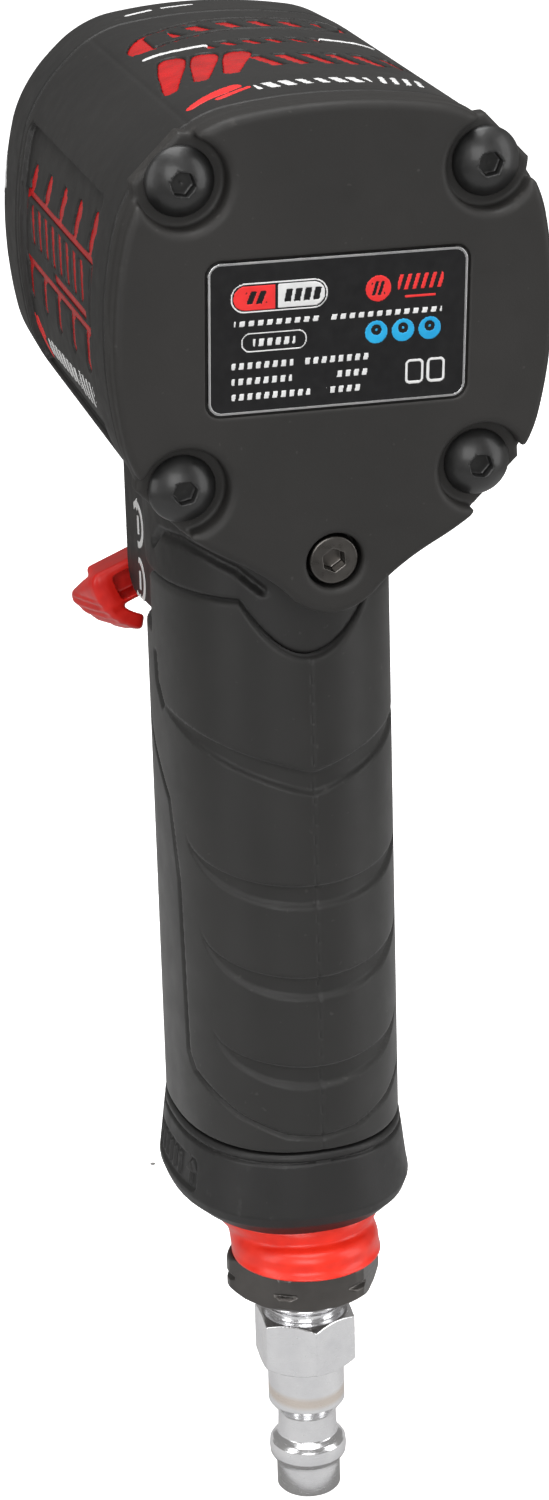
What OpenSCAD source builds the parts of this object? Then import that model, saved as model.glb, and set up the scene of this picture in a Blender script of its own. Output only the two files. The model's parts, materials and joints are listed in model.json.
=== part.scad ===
// Compact half-inch air impact wrench with a pistol grip.
// Origin: centre of the square drive's end face. -Y is the way the drive points, +Z is up,
// +X is the tool's left. The grip leans back, so most of its pieces are made in the grip's own
// frame: z runs up the grip from the spindle, y runs to the rear, square to the grip.

/* [Drive and nose] */
// Square drive across the flats
drive_af = 12.7; // [12.5:0.1:12.9]
// Length of the square drive
drive_l = 16; // [14:0.5:20]
// Radius of the anvil's journal
journal_r = 9.5; // [9.2:0.1:10.5]
// Wall of the anvil bushing
bush_wall = 2.5; // [2:0.1:3]
// Length of the anvil bushing
bush_l = 10; // [8:0.5:14]

/* [Hammer mechanism] */
// Outer radius of the hammer cage
cage_r = 24; // [22:0.5:29]
// Thickness of each cage plate
cage_plate_t = 4; // [3:0.5:6]
// Thickness of one hammer
hammer_t = 9; // [7:0.5:12]
// Radius of a hammer pin
pin_r = 3; // [2.5:0.1:3.6]
// Radius over the anvil's jaws
jaw_r = 11; // [10.5:0.1:11.3]
// Largest swing of a hammer each way, in degrees
rock_deg = 6; // [3:0.5:6]

/* [Motor] */
// Rotor radius
rotor_r = 15.5; // [14:0.5:16]
// Length of the motor cylinder
cylinder_l = 26; // [20:1:34]
// Number of rotor vanes
vanes = 6; // [5:1:7]
// Thickness of the motor's end plates
end_plate_t = 7; // [6.9:0.1:9]

/* [Bodies] */
// Length of the hammer case, nose to joint
case_l = 30; // [28:0.5:33]
// Wall of the hammer case
case_wall = 5.2; // [4.5:0.1:7]
// Radius of the cover screws' threads
screw_r = 2.5; // [2:0.1:3]
// Thickness of the rear cover under the screw heads
cover_t = 3; // [2.5:0.1:4]
// Height of the rear cover's face above the screw seats
cover_rise = 3; // [2.8:0.1:4]
// Width of the rating plate
plate_w = 35.5; // [28:0.5:40]
// Height of the rating plate
plate_h = 20.5; // [16:0.5:24]

/* [Grip] */
// Backward lean of the grip, in degrees
grip_lean = 6.5; // [5:0.5:8]
// Half width of the grip
grip_a = 16.9; // [16:0.1:20]
// Half depth of the grip, front to back
grip_b = 22.7; // [21.5:0.1:27]
// Length of the rubber grip
grip_l = 82.5; // [68:0.5:100]
// Thickness of the grip rubber
rubber_t = 2.2; // [1.5:0.1:2.4]
// Height of the base cap
cap_l = 14.2; // [12:0.1:18]

/* [Trigger and reverse lever] */
// Trigger travel
trigger_travel = 5.5; // [4:0.1:6]
// Half width of the trigger
trigger_w2 = 6.8; // [5.5:0.1:7.5]
// Turn of the reverse lever from forward to reverse, in degrees
lever_swing = 44; // [30:1:44]

/* [Air inlet] */
// Inlet bushing hexagon across the flats
bushing_af = 21.5; // [20:0.5:24]
// Nipple hexagon across the flats
nipple_af = 14; // [13:0.5:16]
// Radius of the nipple's tip
tip_r = 4.93; // [4.8:0.01:5.0]
// Radius of the nipple's bead
bead_r = 6; // [5.8:0.05:6.2]

/* [Hidden] */
$fn = 64;

// Clearances
fit = 0.02;       // between pieces that are fixed to each other
run = 0.05;       // radial, of running fits
gap = 0.4;        // between moving faces
bite = 1;         // how far a cutting solid runs past the face that it opens
gasket_t = 0.4;

// Stations along the spindle, front to rear
nose_y = drive_l + 1.5;
nose_lip = 1.5;
bush_y0 = nose_y + nose_lip;
bush_y1 = bush_y0 + bush_l;
washer_t = 1.2;
washer_y0 = bush_y1 + 0.1;
cage_y0 = washer_y0 + washer_t + gap;
hammer1_y0 = cage_y0 + cage_plate_t + gap;
hammer2_y0 = hammer1_y0 + hammer_t + gap;
cage_y1 = hammer2_y0 + hammer_t + gap;        // front face of the cage's rear plate
cage_y2 = cage_y1 + cage_plate_t;
hub_l = 3;
bulkhead_y0 = cage_y2 + 0.6;
bulkhead_t = 3;
plate_y0 = bulkhead_y0 + bulkhead_t;          // front face of the front end plate
cylinder_y0 = plate_y0 + end_plate_t;
cylinder_y1 = cylinder_y0 + cylinder_l;
plate_y1 = cylinder_y1 + end_plate_t;         // rear face of the rear end plate
case_y1 = nose_y + case_l;
housing_y0 = case_y1 + gasket_t;
housing_y1 = plate_y1 + 0.8;
cover_y0 = housing_y1 + gasket_t;
seat_y = cover_y0 + cover_t;
face_y = seat_y + cover_rise;

// Radii about the spindle
bore_gap = 1;
cage_bore_r = cage_r + bore_gap;
body_half = cage_bore_r + case_wall;
body_top = body_half + 0.1;
screw_wall = 1.8;
screw_xz = (cage_bore_r + screw_wall + screw_r) / sqrt(2);
bush_r = journal_r + run + bush_wall;
collar_r = jaw_r + 1;
core_r = 7.5;
pilot_r = 5.5;
bar_t = 2.7;
rock_room = 2.3;
hammer_r = cage_r - bar_t - rock_room;
pin_at = hammer_r - 0.2;
jaw_gap = 0.5;
recess_r = jaw_r + jaw_gap + 1.4;
eccentric = 1.9;
cylinder_bore_r = rotor_r + eccentric + 0.2;
cylinder_wall = 2;
cylinder_r = cylinder_bore_r + eccentric + cylinder_wall;
motor_bore_r = cylinder_r + run;
dowel_r = 1;
dowel_z = cylinder_r - 2.9;

// Ball bearings, 10 x 22 x 6
bearing_r_in = 5;
bearing_r_out = 11;
bearing_w = 6;
ball_r = 1.59;
ball_pitch_r = 8;
ball_count = 9;
race_gap = 1.4;
front_bearing_y = plate_y0 + 0.1;
rear_bearing_y = cylinder_y1 + end_plate_t - bearing_w - 0.1;

// Body outline
screw_boss_r = 6.2;
top_r = 81;
side_r = 64;
shoulder_x = screw_xz - 1.7;
shoulder_z = screw_xz - 1.1;
chin_z = -(body_half + 2.1);
chin_r = 7.6;
chin_head_r = 3.5;
chin_head_h = 3.7;
chin_thread_r = 2;
chin_seat_y = cover_y0 + 1.5;
chin_screw_l = 14;
screw_head_r = 4.7;
screw_head_h = 2.7;
screw_end_y = case_y1 - 8.5;
pocket_r = 6;
plate_recess = 0.6;
plate_t = 0.5;
plate_corner_r = 1.8;
plate_gap = 0.35;

// Grip frame
grip_y = housing_y0 + 21.1;
oval_power = 2.3;
grip_top = 47;
grip_end = grip_top + grip_l;
core_a = grip_a - rubber_t;
core_b = grip_b - rubber_t;
inlet_y = 9.8;
block_w2 = 14.6;
block_y0 = -26.8;
block_z0 = -54;

// Trigger and valve axis, in the grip frame
valve_z = -47.5;
valve_bush_r = 6;
valve_bore_r = 4.7;
valve_y1 = 3;
seat_y1 = 8;
seat_hole_r = 3.6;
chamber_r = 6.5;
stem_r = 2.2;
poppet_r = 5;
poppet_t = 2.6;
chamber_y1 = seat_y1 + poppet_t + trigger_travel + 3.2;
hub_y0 = -33.5;
hub_y1 = block_y0 - 0.5;
hub_r = 7;
stem_y0 = -46.5;
pad_l = 14.2;         // front to back, of the reverse lever's finger pads
detent_y = -20;
detent_r = 1;
lever_rest = lever_swing / 2;

// Base of the grip
cap_z0 = -(grip_end + 0.3);
cap_z1 = cap_z0 - cap_l;
cap_flare = 1.6;
lip_z = cap_z1 - 6.5;
shank_r = 8.4;
shank_z = -(grip_end - 17);
hex_z0 = lip_z - 0.1;
hex_z1 = hex_z0 - 6.2;
thread_r = 6.4;
nipple_neck = 4.6;
nipple_hex_z0 = hex_z1 - nipple_neck;
nipple_hex_z1 = nipple_hex_z0 - 8.7;
shoulder_len = 6.8;
neck_r = 4.5;
bead_z = nipple_hex_z1 - 15;
tip_z = bead_z - 7.1;
nipple_bore_r = 2.75;
nipple_turn = 27;        // how far the screwed-in nipple ends up turned, in degrees

// Helpers

// Points of an arc, from angle a0 to a1
function arc_pts(cx, cy, r, a0, a1, n) =
    [for (i = [0 : n]) let(a = a0 + (a1 - a0) * i / n) [cx + r * cos(a), cy + r * sin(a)]];

// Points of a superellipse with half axes a and b
function oval_pts(a, b, n) =
    [for (i = [0 : n - 1]) let(t = 360 * i / n)
        [a * sign(cos(t)) * pow(abs(cos(t)), 2 / oval_power),
         b * sign(sin(t)) * pow(abs(sin(t)), 2 / oval_power)]];

function mirror_x(pts) = [for (i = [len(pts) - 1 : -1 : 0]) [-pts[i][0], pts[i][1]]];

// A cylinder along Y
module y_cyl(y0, y1, r) {
    translate([0, y0, 0]) rotate([-90, 0, 0]) cylinder(h = y1 - y0, r = r);
}

// A tube along Y
module y_tube(y0, y1, r_out, r_in) {
    difference() {
        y_cyl(y0, y1, r_out);
        y_cyl(y0 - bite, y1 + bite, r_in);
    }
}

// A flat shape drawn in X and Z, extruded along Y
module y_extrude(y0, y1) {
    translate([0, y1, 0]) rotate([90, 0, 0]) linear_extrude(y1 - y0) children();
}

// Places a piece at each of the four cover screws
module at_screws() {
    for (sx = [-1, 1], sz = [-1, 1]) translate([sx * screw_xz, 0, sz * screw_xz]) children();
}

// Places a piece in the grip's frame
module in_grip() {
    translate([0, grip_y, 0]) rotate([grip_lean, 0, 0]) children();
}

// Places a piece drawn along Y on the trigger's axis
module on_valve_axis() {
    in_grip() translate([0, 0, valve_z]) children();
}

// An oval prism in the grip frame, from z1 up to z0
module oval_prism(z1, z0, a, b) {
    translate([0, 0, z1]) linear_extrude(z0 - z1) polygon(oval_pts(a, b, 48));
}

// A coil spring along Z with its lowest end at 0
module coil(r, wire_r, length, turns) {
    sides = 8;
    steps = 20 * turns;
    rise = length - 2 * wire_r;
    pts = [for (i = [0 : steps], j = [0 : sides - 1])
        let(a = 360 * turns * i / steps, b = 360 * j / sides)
        [(r + wire_r * cos(b)) * cos(a), (r + wire_r * cos(b)) * sin(a),
         wire_r + rise * i / steps + wire_r * sin(b)]];
    skin = [for (i = [0 : steps - 1], j = [0 : sides - 1])
        let(k = (j + 1) % sides)
        [i * sides + j, (i + 1) * sides + j, (i + 1) * sides + k, i * sides + k]];
    start_cap = [[for (j = [0 : sides - 1]) j]];
    end_cap = [[for (j = [sides - 1 : -1 : 0]) steps * sides + j]];
    polyhedron(pts, concat(skin, start_cap, end_cap));
}

// A torus about Y
module y_torus(y, r, wire_r) {
    translate([0, y, 0]) rotate([-90, 0, 0]) rotate_extrude()
        translate([r, 0]) circle(r = wire_r, $fn = 24);
}

// Outlines

// Upper part of the body section: crowned top, bowed sides, cut corners
module body_outline() {
    top = arc_pts(0, body_top - top_r, top_r, 90, 90 - asin(shoulder_x / top_r), 6);
    side = arc_pts(body_half - side_r, 0, side_r, asin(shoulder_z / side_r), -asin(shoulder_z / side_r), 10);
    bottom = [for (i = [len(top) - 1 : -1 : 0]) [top[i][0], -top[i][1]]];
    right = concat(top, side, bottom);
    polygon(concat(right, mirror_x(right)));
}

// The tongue that hangs below the body at the rear, around the chin screw
module chin_outline() {
    tangent_x = chin_r * cos(45);
    tangent_z = chin_z - chin_r * sin(45);
    root_x = tangent_x + body_half - shoulder_x;
    root_z = tangent_z + body_half - shoulder_x;
    polygon([[-root_x, root_z], [-tangent_x, tangent_z], [tangent_x, tangent_z], [root_x, root_z]]);
    translate([0, chin_z]) circle(r = chin_r);
}

module cover_outline() {
    body_outline();
    chin_outline();
    for (sx = [-1, 1], sz = [-1, 1]) translate([sx * screw_xz, sz * screw_xz]) circle(r = screw_boss_r);
}

module rounded_rect(w, h, r) {
    square([w - 2 * r, h], center = true);
    square([w, h - 2 * r], center = true);
    for (sx = [-1, 1], sy = [-1, 1]) translate([sx * (w / 2 - r), sy * (h / 2 - r)]) circle(r = r);
}

// Anvil and nose

ring_y = 5;          // friction ring's place along the square
ring_w = 1.6;
ring_r_out = 6.9;
ring_r_in = 5.6;
ring_groove_r = 4.5;

module anvil() {
    color("silver") difference() {
        union() {
            intersection() {
                translate([-drive_af / 2, 0, -drive_af / 2]) cube([drive_af, drive_l + 0.5, drive_af]);
                y_cyl(0, drive_l + 0.5, drive_af * 0.655);
            }
            y_cyl(drive_l, hammer1_y0, journal_r);
            y_cyl(cage_y0 + 0.1, cage_y0 + cage_plate_t, collar_r);
            y_cyl(hammer1_y0 - gap, cage_y1 - 0.2, core_r);
            y_cyl(cage_y1 - 0.5, cage_y2 - 1, pilot_r);
            jaw(hammer1_y0 + 0.2, hammer_t - 0.4, 0);
            jaw(hammer2_y0 + 0.2, hammer_t - 0.4, 180);
        }
        y_tube(ring_y - 0.15, ring_y + ring_w + 0.15, drive_af, ring_groove_r);
    }
}

// One jaw: a wedge of 30 degrees, out to jaw_r
module jaw(y0, l, turn) {
    rotate([0, turn, 0]) y_extrude(y0, y0 + l)
        polygon(concat([[0, 0]], arc_pts(0, 0, jaw_r, 75, 105, 6)));
}

module friction_ring() {
    color("dimgray") y_tube(ring_y, ring_y + ring_w, ring_r_out, ring_r_in);
}

module friction_o_ring() {
    color("black") y_torus(ring_y + ring_w / 2, (ring_groove_r + ring_r_in) / 2, 0.5);
}

module anvil_bushing() {
    color("darkgoldenrod") y_tube(bush_y0, bush_y1, bush_r, journal_r + run);
}

module thrust_washer() {
    color("silver") y_tube(washer_y0, washer_y0 + washer_t, collar_r + 4, journal_r + gap);
}

// One cross slab of the hammer case, made for hull()
module case_slab(y, size) {
    translate([0, y, 0]) scale(size) y_extrude(0, 0.5) body_outline($fn = 32);
}

module hammer_case() {
    nose_r = bush_r + 4.4;
    color("dimgray") difference() {
        union() {
            hull() {
                case_slab(case_y1 - 0.5, 1);
                case_slab(case_y1 - 10, 0.985);
            }
            hull() {
                case_slab(case_y1 - 10, 0.985);
                case_slab(case_y1 - 19, 0.88);
            }
            hull() {
                case_slab(case_y1 - 19, 0.88);
                y_cyl(nose_y + 2, nose_y + 3, nose_r + 1.5, $fn = 48);
            }
            y_cyl(nose_y, nose_y + 4, nose_r);
        }
        y_cyl(nose_y - bite, bush_y0 + bite, journal_r + gap);
        y_cyl(bush_y0, bush_y1, bush_r + fit);
        y_cyl(bush_y1 - 0.5, cage_y0, collar_r + 5);
        y_cyl(cage_y0 - gap, case_y1 + bite, cage_bore_r);
        at_screws() y_cyl(screw_end_y - 1, case_y1 + bite, screw_r + fit);
    }
}

module case_gasket() {
    color("tan") difference() {
        y_extrude(case_y1, housing_y0) body_outline();
        y_cyl(case_y1 - bite, housing_y0 + bite, cage_bore_r);
        at_screws() y_cyl(case_y1 - bite, housing_y0 + bite, screw_r + 0.25);
    }
}

// Hammer mechanism

module hammer_cage() {
    color("slategray") difference() {
        union() {
            y_tube(cage_y0, cage_y0 + cage_plate_t, cage_r, collar_r + run);
            intersection() {
                y_tube(cage_y0, cage_y2, cage_r, cage_r - bar_t);
                translate([-cage_r - bite, cage_y0, -8])
                    cube([2 * cage_r + 2 * bite, cage_y2 - cage_y0, 16]);
            }
            y_cyl(cage_y1, cage_y2, cage_r);
            y_cyl(cage_y2 - 0.5, cage_y2 + hub_l, 9);
        }
        y_cyl(cage_y1 - bite, cage_y2 - 0.8, pilot_r + run);
        spline(cage_y2 - 0.9, cage_y2 + hub_l + bite, run);
        for (s = [-1, 1]) translate([0, 0, s * pin_at]) y_cyl(cage_y0 - bite, cage_y2 + bite, pin_r + fit);
    }
}

// The rotor's front spline, larger all round by extra when it cuts the socket
module spline(y0, y1, extra) {
    y_cyl(y0, y1, 3.8 + extra);
    for (i = [0 : 5]) rotate([0, 60 * i, 0])
        translate([-0.9 - extra, y0, 0]) cube([1.8 + 2 * extra, y1 - y0, 4.8 + extra]);
}

module hammer_pins() {
    color("silver") for (s = [-1, 1]) translate([0, 0, s * pin_at])
        y_cyl(cage_y0 + 0.3, cage_y2 - 0.1, pin_r);
}

// A hammer that swings on the upper pin
module hammer_ring(y0) {
    bore_r = jaw_r + jaw_gap;
    slot_w2 = pin_r + 2 * pin_at * sin(rock_deg) + gap;
    recess = concat([[0, 0]], arc_pts(0, 0, recess_r, 52, 128, 8));
    difference() {
        y_tube(y0, y0 + hammer_t, hammer_r, bore_r);
        y_extrude(y0 - bite, y0 + hammer_t + bite) polygon(recess);
        translate([0, 0, pin_at]) y_cyl(y0 - bite, y0 + hammer_t + bite, pin_r + run);
        translate([-slot_w2, y0 - bite, -hammer_r - bite])
            cube([2 * slot_w2, hammer_t + 2 * bite, hammer_r + bite - pin_at + pin_r + gap]);
    }
}

module front_hammer() {
    color("dimgray") hammer_ring(hammer1_y0);
}

module rear_hammer() {
    color("dimgray") rotate([0, 180, 0]) hammer_ring(hammer2_y0);
}

// Motor

module rotor() {
    slot_floor = rotor_r - 8.7;
    color("lightgray") difference() {
        union() {
            y_cyl(cylinder_y0 + 0.2, cylinder_y1 - 0.2, rotor_r);
            y_cyl(cage_y2 + hub_l + 0.2, rear_bearing_y + bearing_w, bearing_r_in - fit);
            spline(cage_y2 - 0.3, cage_y2 + hub_l + 0.5, 0);
        }
        for (i = [0 : vanes - 1]) rotate([0, 360 * i / vanes, 0])
            translate([-0.85, cylinder_y0, slot_floor]) cube([1.7, cylinder_l, 10]);
    }
}

module rotor_vanes() {
    color("saddlebrown") for (i = [0 : vanes - 1]) rotate([0, 360 * i / vanes, 0])
        translate([-0.8, cylinder_y0 + 0.3, rotor_r - 8.5]) cube([1.6, cylinder_l - 0.6, 8.3]);
}

module dowel_hole() {
    translate([0, 0, dowel_z]) y_cyl(plate_y0 - bite, plate_y1 + bite, dowel_r + fit);
}

module motor_cylinder() {
    color("gray") difference() {
        y_cyl(cylinder_y0, cylinder_y1, cylinder_r);
        translate([0, 0, -eccentric]) y_cyl(cylinder_y0 - bite, cylinder_y1 + bite, cylinder_bore_r);
        dowel_hole();
        // exhaust ports at the bottom, air ports at both sides
        for (k = [-1, 0, 1]) translate([0, (cylinder_y0 + cylinder_y1) / 2 + 6 * k, -cylinder_r - bite])
            cylinder(h = cylinder_wall + 3, r = 2);
        for (s = [-1, 1], k = [-1, 1]) rotate([0, 50 * s, 0])
            translate([0, (cylinder_y0 + cylinder_y1) / 2 + 6 * k, cylinder_r - 9])
                cylinder(h = 12, r = 1.6);
    }
}

module cylinder_dowel() {
    color("silver") translate([0, 0, dowel_z]) y_cyl(plate_y0 + 0.2, plate_y1 - 0.2, dowel_r);
}

module front_end_plate() {
    color("gray") difference() {
        y_cyl(plate_y0, cylinder_y0, cylinder_r);
        y_cyl(plate_y0 - bite, front_bearing_y + bearing_w, bearing_r_out + fit);
        y_cyl(plate_y0, cylinder_y0 + bite, bearing_r_in + 1.2);
        dowel_hole();
    }
}

module rear_end_plate() {
    color("gray") difference() {
        y_cyl(cylinder_y1, plate_y1, cylinder_r);
        y_cyl(rear_bearing_y, plate_y1 + bite, bearing_r_out + fit);
        y_cyl(cylinder_y1 - bite, plate_y1, bearing_r_in + 1.2);
        dowel_hole();
    }
}

module outer_race(y0) {
    difference() {
        y_tube(y0, y0 + bearing_w, bearing_r_out, ball_pitch_r + race_gap);
        y_torus(y0 + bearing_w / 2, ball_pitch_r, ball_r + 0.03);
    }
}

module inner_race(y0) {
    difference() {
        y_tube(y0, y0 + bearing_w, ball_pitch_r - race_gap, bearing_r_in);
        y_torus(y0 + bearing_w / 2, ball_pitch_r, ball_r + 0.03);
    }
}

module at_balls(extra) {
    for (y0 = [front_bearing_y, rear_bearing_y], i = [0 : ball_count - 1])
        rotate([0, 360 * i / ball_count, 0])
            translate([0, y0 + bearing_w / 2, ball_pitch_r]) sphere(r = ball_r + extra, $fn = 32);
}

module front_bearing_outer() {
    color("silver") outer_race(front_bearing_y);
}

module front_bearing_inner() {
    color("silver") inner_race(front_bearing_y);
}

module rear_bearing_outer() {
    color("silver") outer_race(rear_bearing_y);
}

module rear_bearing_inner() {
    color("silver") inner_race(rear_bearing_y);
}

module bearing_balls() {
    color("white") at_balls(0);
}

module bearing_retainers() {
    color("goldenrod") difference() {
        for (y0 = [front_bearing_y, rear_bearing_y])
            y_tube(y0 + bearing_w / 2 - 1.9, y0 + bearing_w / 2 + 1.9, ball_pitch_r + 0.6, ball_pitch_r - 0.6);
        at_balls(0.04);
    }
}

module wave_washer() {
    color("silver") y_tube(plate_y1 + 0.05, plate_y1 + 0.45, bearing_r_out - 0.3, bearing_r_out - 2);
}

// Housing, cover and screws

// Side recesses: two rows of slots around a framed panel, cut into both flanks
slot_pitch = 8.95;
slot_w = 3;
slot_l = 6.5;
slot_bite = 2.1;
panel_y = housing_y0 + 24;

module side_recesses() {
    for (s = [-1, 1], k = [-2 : 2], z = [10.2, -6.6]) {
        translate([s * body_half, panel_y + slot_pitch * k, z])
            cube([2 * slot_bite, slot_w, slot_l], center = true);
    }
}

module valve_cuts() {
    on_valve_axis() {
        y_cyl(block_y0 - bite, seat_y1, valve_bush_r + fit);
        y_cyl(seat_y1 - bite, chamber_y1, chamber_r);
        translate([0, detent_y, valve_bore_r]) cylinder(h = 8, r = detent_r + 0.1);
    }
}

// Passages down the grip: air in at the rear, exhaust at the front
module grip_cuts() {
    in_grip() {
        translate([0, inlet_y, -grip_end - bite]) cylinder(h = grip_end + valve_z + bite, r = 5.4);
        translate([0, inlet_y, -grip_end - bite])
            cylinder(h = shank_z + grip_end + bite, r = shank_r + fit);
        for (s = [-1, 1]) {
            translate([s * 4.5, -9, -grip_end - bite]) cylinder(h = grip_end - 62, r = 5.5);
            translate([s * 11, -3, -64]) cylinder(h = 44, r = 2.2);
        }
        translate([-4.5, -14.5, -grip_end - bite]) cube([9, 11, grip_end - 62]);
        translate([-11, -5, -66]) cube([22, 4, 4]);
    }
}

module housing_solid() {
    y_extrude(housing_y0, housing_y1) body_outline();
    y_extrude(grip_y, housing_y1) chin_outline();
    in_grip() {
        oval_prism(-grip_top, -20, grip_a - 0.1, grip_b - 0.1);
        oval_prism(-grip_end, -20, core_a, core_b);
        // the block that carries the trigger and the reverse lever
        translate([-block_w2, block_y0 + 4, block_z0]) cube([2 * block_w2, 24, -block_z0 - 22]);
        translate([-block_w2, block_y0, block_z0 + 4]) cube([2 * block_w2, 24, -block_z0 - 28]);
        translate([-block_w2, block_y0 + 4, block_z0 + 4]) rotate([0, 90, 0])
            cylinder(h = 2 * block_w2, r = 4);
    }
}

module motor_housing() {
    color("darkslategray") difference() {
        housing_solid();
        y_cyl(housing_y0 - bite, bulkhead_y0, cage_bore_r);
        y_cyl(bulkhead_y0 - bite, plate_y0 + bite, 13);
        y_cyl(plate_y0, housing_y1 + bite, motor_bore_r);
        at_screws() y_cyl(housing_y0 - bite, housing_y1 + bite, screw_r + 0.25);
        translate([0, 0, chin_z])
            y_cyl(chin_seat_y - chin_screw_l - 1, housing_y1 + bite, chin_thread_r + fit);
        // the block under the hammer case ends below it
        translate([-block_w2 - bite, housing_y0 - 12, -body_top - gap])
            cube([2 * (block_w2 + bite), 12, body_top]);
        side_recesses();
        valve_cuts();
        grip_cuts();
    }
}

module cover_gasket() {
    color("tan") difference() {
        union() {
            y_extrude(housing_y1, cover_y0) body_outline();
            y_extrude(housing_y1, cover_y0) chin_outline();
        }
        y_cyl(housing_y1 - bite, cover_y0 + bite, motor_bore_r);
        at_screws() y_cyl(housing_y1 - bite, cover_y0 + bite, screw_r + 0.25);
        translate([0, 0, chin_z]) y_cyl(housing_y1 - bite, cover_y0 + bite, chin_thread_r + 0.25);
    }
}

module rear_cover() {
    color("darkslategray") difference() {
        union() {
            y_extrude(cover_y0, face_y) cover_outline();
            y_tube(plate_y1 + 0.6, cover_y0 + bite, motor_bore_r - run, motor_bore_r - 4);
        }
        at_screws() {
            y_cyl(cover_y0 - bite, face_y, screw_r + 0.25);
            y_cyl(seat_y, face_y + bite, pocket_r);
        }
        translate([0, 0, chin_z]) {
            y_cyl(cover_y0 - bite, face_y, chin_thread_r + 0.25);
            y_cyl(chin_seat_y, face_y + bite, chin_head_r + 0.4);
        }
        y_extrude(face_y - plate_recess, face_y + bite)
            rounded_rect(plate_w + 2 * plate_gap, plate_h + 2 * plate_gap, plate_corner_r + plate_gap);
    }
}

// A low domed head with a hexagon socket, standing on y = 0
module button_head() {
    difference() {
        rotate([-90, 0, 0]) rotate_extrude()
            polygon(concat([[0, 0], [screw_head_r - 0.2, 0], [screw_head_r, 0.3], [screw_head_r, 0.6]],
                [for (i = [1 : 6]) [screw_head_r * cos(i * 11), 0.6 + (screw_head_h - 0.6) * sin(i * 11) / sin(66)]],
                [[0, screw_head_h]]));
        translate([0, screw_head_h - 1.7, 0]) rotate([-90, 0, 0])
            cylinder(h = 3, r = 1.5 / cos(30), $fn = 6);
    }
}

module cover_screws() {
    color("black") at_screws() {
        translate([0, seat_y, 0]) button_head();
        y_cyl(screw_end_y, seat_y + 0.3, screw_r);
    }
}

module chin_screw() {
    color("dimgray") translate([0, 0, chin_z]) difference() {
        union() {
            y_cyl(chin_seat_y, chin_seat_y + chin_head_h, chin_head_r);
            y_cyl(chin_seat_y - chin_screw_l, chin_seat_y + 0.5, chin_thread_r);
        }
        translate([0, chin_seat_y + chin_head_h - 2, 0]) rotate([-90, 0, 0])
            cylinder(h = 3, r = 1.5 / cos(30), $fn = 6);
    }
}

module rating_plate() {
    color("black") y_extrude(face_y - plate_recess, face_y - plate_recess + plate_t)
        rounded_rect(plate_w, plate_h, plate_corner_r);
}

// Grip

module grip_sleeve() {
    color("black") in_grip() difference() {
        oval_prism(-grip_end, -grip_top, grip_a, grip_b);
        oval_prism(-grip_end - bite, -grip_top + bite, core_a, core_b);
        translate([-block_w2 - 5, block_y0 - 5, block_z0]) cube([2 * block_w2 + 10, 29, 40]);
    }
}

// Trigger: a curved blade with a boss for the throttle valve's stem
module trigger() {
    blade_t = 3.2;
    blade_h = 25;
    blade_r = 26;
    blade_z = -5.5;
    color("red") on_valve_axis() difference() {
        union() {
            intersection() {
                translate([-trigger_w2, stem_y0 + 2.2 + blade_r - 2, blade_z]) rotate([0, 90, 0])
                    difference() {
                    cylinder(h = 2 * trigger_w2, r = blade_r);
                    translate([0, 0, -bite]) cylinder(h = 2 * trigger_w2 + 2 * bite, r = blade_r - blade_t);
                }
                translate([-20, stem_y0 - 5, blade_z - blade_h / 2]) cube([40, 15, blade_h]);
            }
            y_cyl(stem_y0 + 1, -40, 4.2);
        }
        y_cyl(stem_y0 + 2.5, -39, stem_r + fit);
        translate([-5, -41.5, 0]) rotate([0, 90, 0]) cylinder(h = 10, r = 0.75 + fit);
    }
}

module trigger_pin() {
    color("silver") on_valve_axis() translate([-4, -41.5, 0]) rotate([0, 90, 0]) cylinder(h = 8, r = 0.75);
}

// The trigger's stem with its poppet, which closes on the seat's rear face
module throttle_valve() {
    color("silver") on_valve_axis() difference() {
        union() {
            y_cyl(stem_y0 + 2.6, seat_y1 + 1, stem_r);
            y_cyl(seat_y1 + 0.05, seat_y1 + 0.05 + poppet_t, poppet_r);
            y_cyl(seat_y1 + poppet_t, seat_y1 + poppet_t + 1.2, 2.2);
        }
        translate([-5, -41.5, 0]) rotate([0, 90, 0]) cylinder(h = 10, r = 0.75 + fit);
    }
}

module throttle_spring() {
    y0 = seat_y1 + poppet_t + 0.15;
    color("silver") on_valve_axis() translate([0, y0, 0]) rotate([-90, 0, 0])
        coil(3.6, 0.45, chamber_y1 - 0.1 - y0, 3);
}

module throttle_seat() {
    color("goldenrod") on_valve_axis() y_tube(valve_y1, seat_y1, valve_bush_r, seat_hole_r);
}

module valve_bushing() {
    color("lightsteelblue") on_valve_axis() difference() {
        y_tube(block_y0 + 0.5, valve_y1, valve_bush_r, valve_bore_r);
        translate([0, detent_y, 0]) cylinder(h = valve_bush_r + bite, r = detent_r + 0.1);
        // ports to the motor and from the exhaust
        for (s = [-1, 1]) rotate([0, 60 * s, 0]) translate([0, -6, 0])
            cylinder(h = valve_bush_r + bite, r = 2);
        for (y = [-14, -1]) y_tube(y, y + 1.2, valve_bush_r + bite, valve_bush_r - 0.7);
    }
}

module bushing_o_rings() {
    color("black") on_valve_axis() for (y = [-14, -1]) y_torus(y + 0.6, valve_bush_r - 0.32, 0.34);
}

// The turning sleeve of the reverse valve, with a track for the detent ball
module reverse_valve() {
    color("gainsboro") on_valve_axis() rotate([0, lever_rest, 0]) difference() {
        y_tube(hub_y0 + 3.5, valve_y1 - 0.3, valve_bore_r - run, stem_r + 1.4);
        y_tube(detent_y - 1.1, detent_y + 1.1, valve_bore_r + bite, valve_bore_r - 0.6);
        for (s = [-1, 1]) rotate([0, 82 * s, 0]) translate([0, -6, 0])
            cylinder(h = valve_bore_r + bite, r = 1.8);
    }
}

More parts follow.
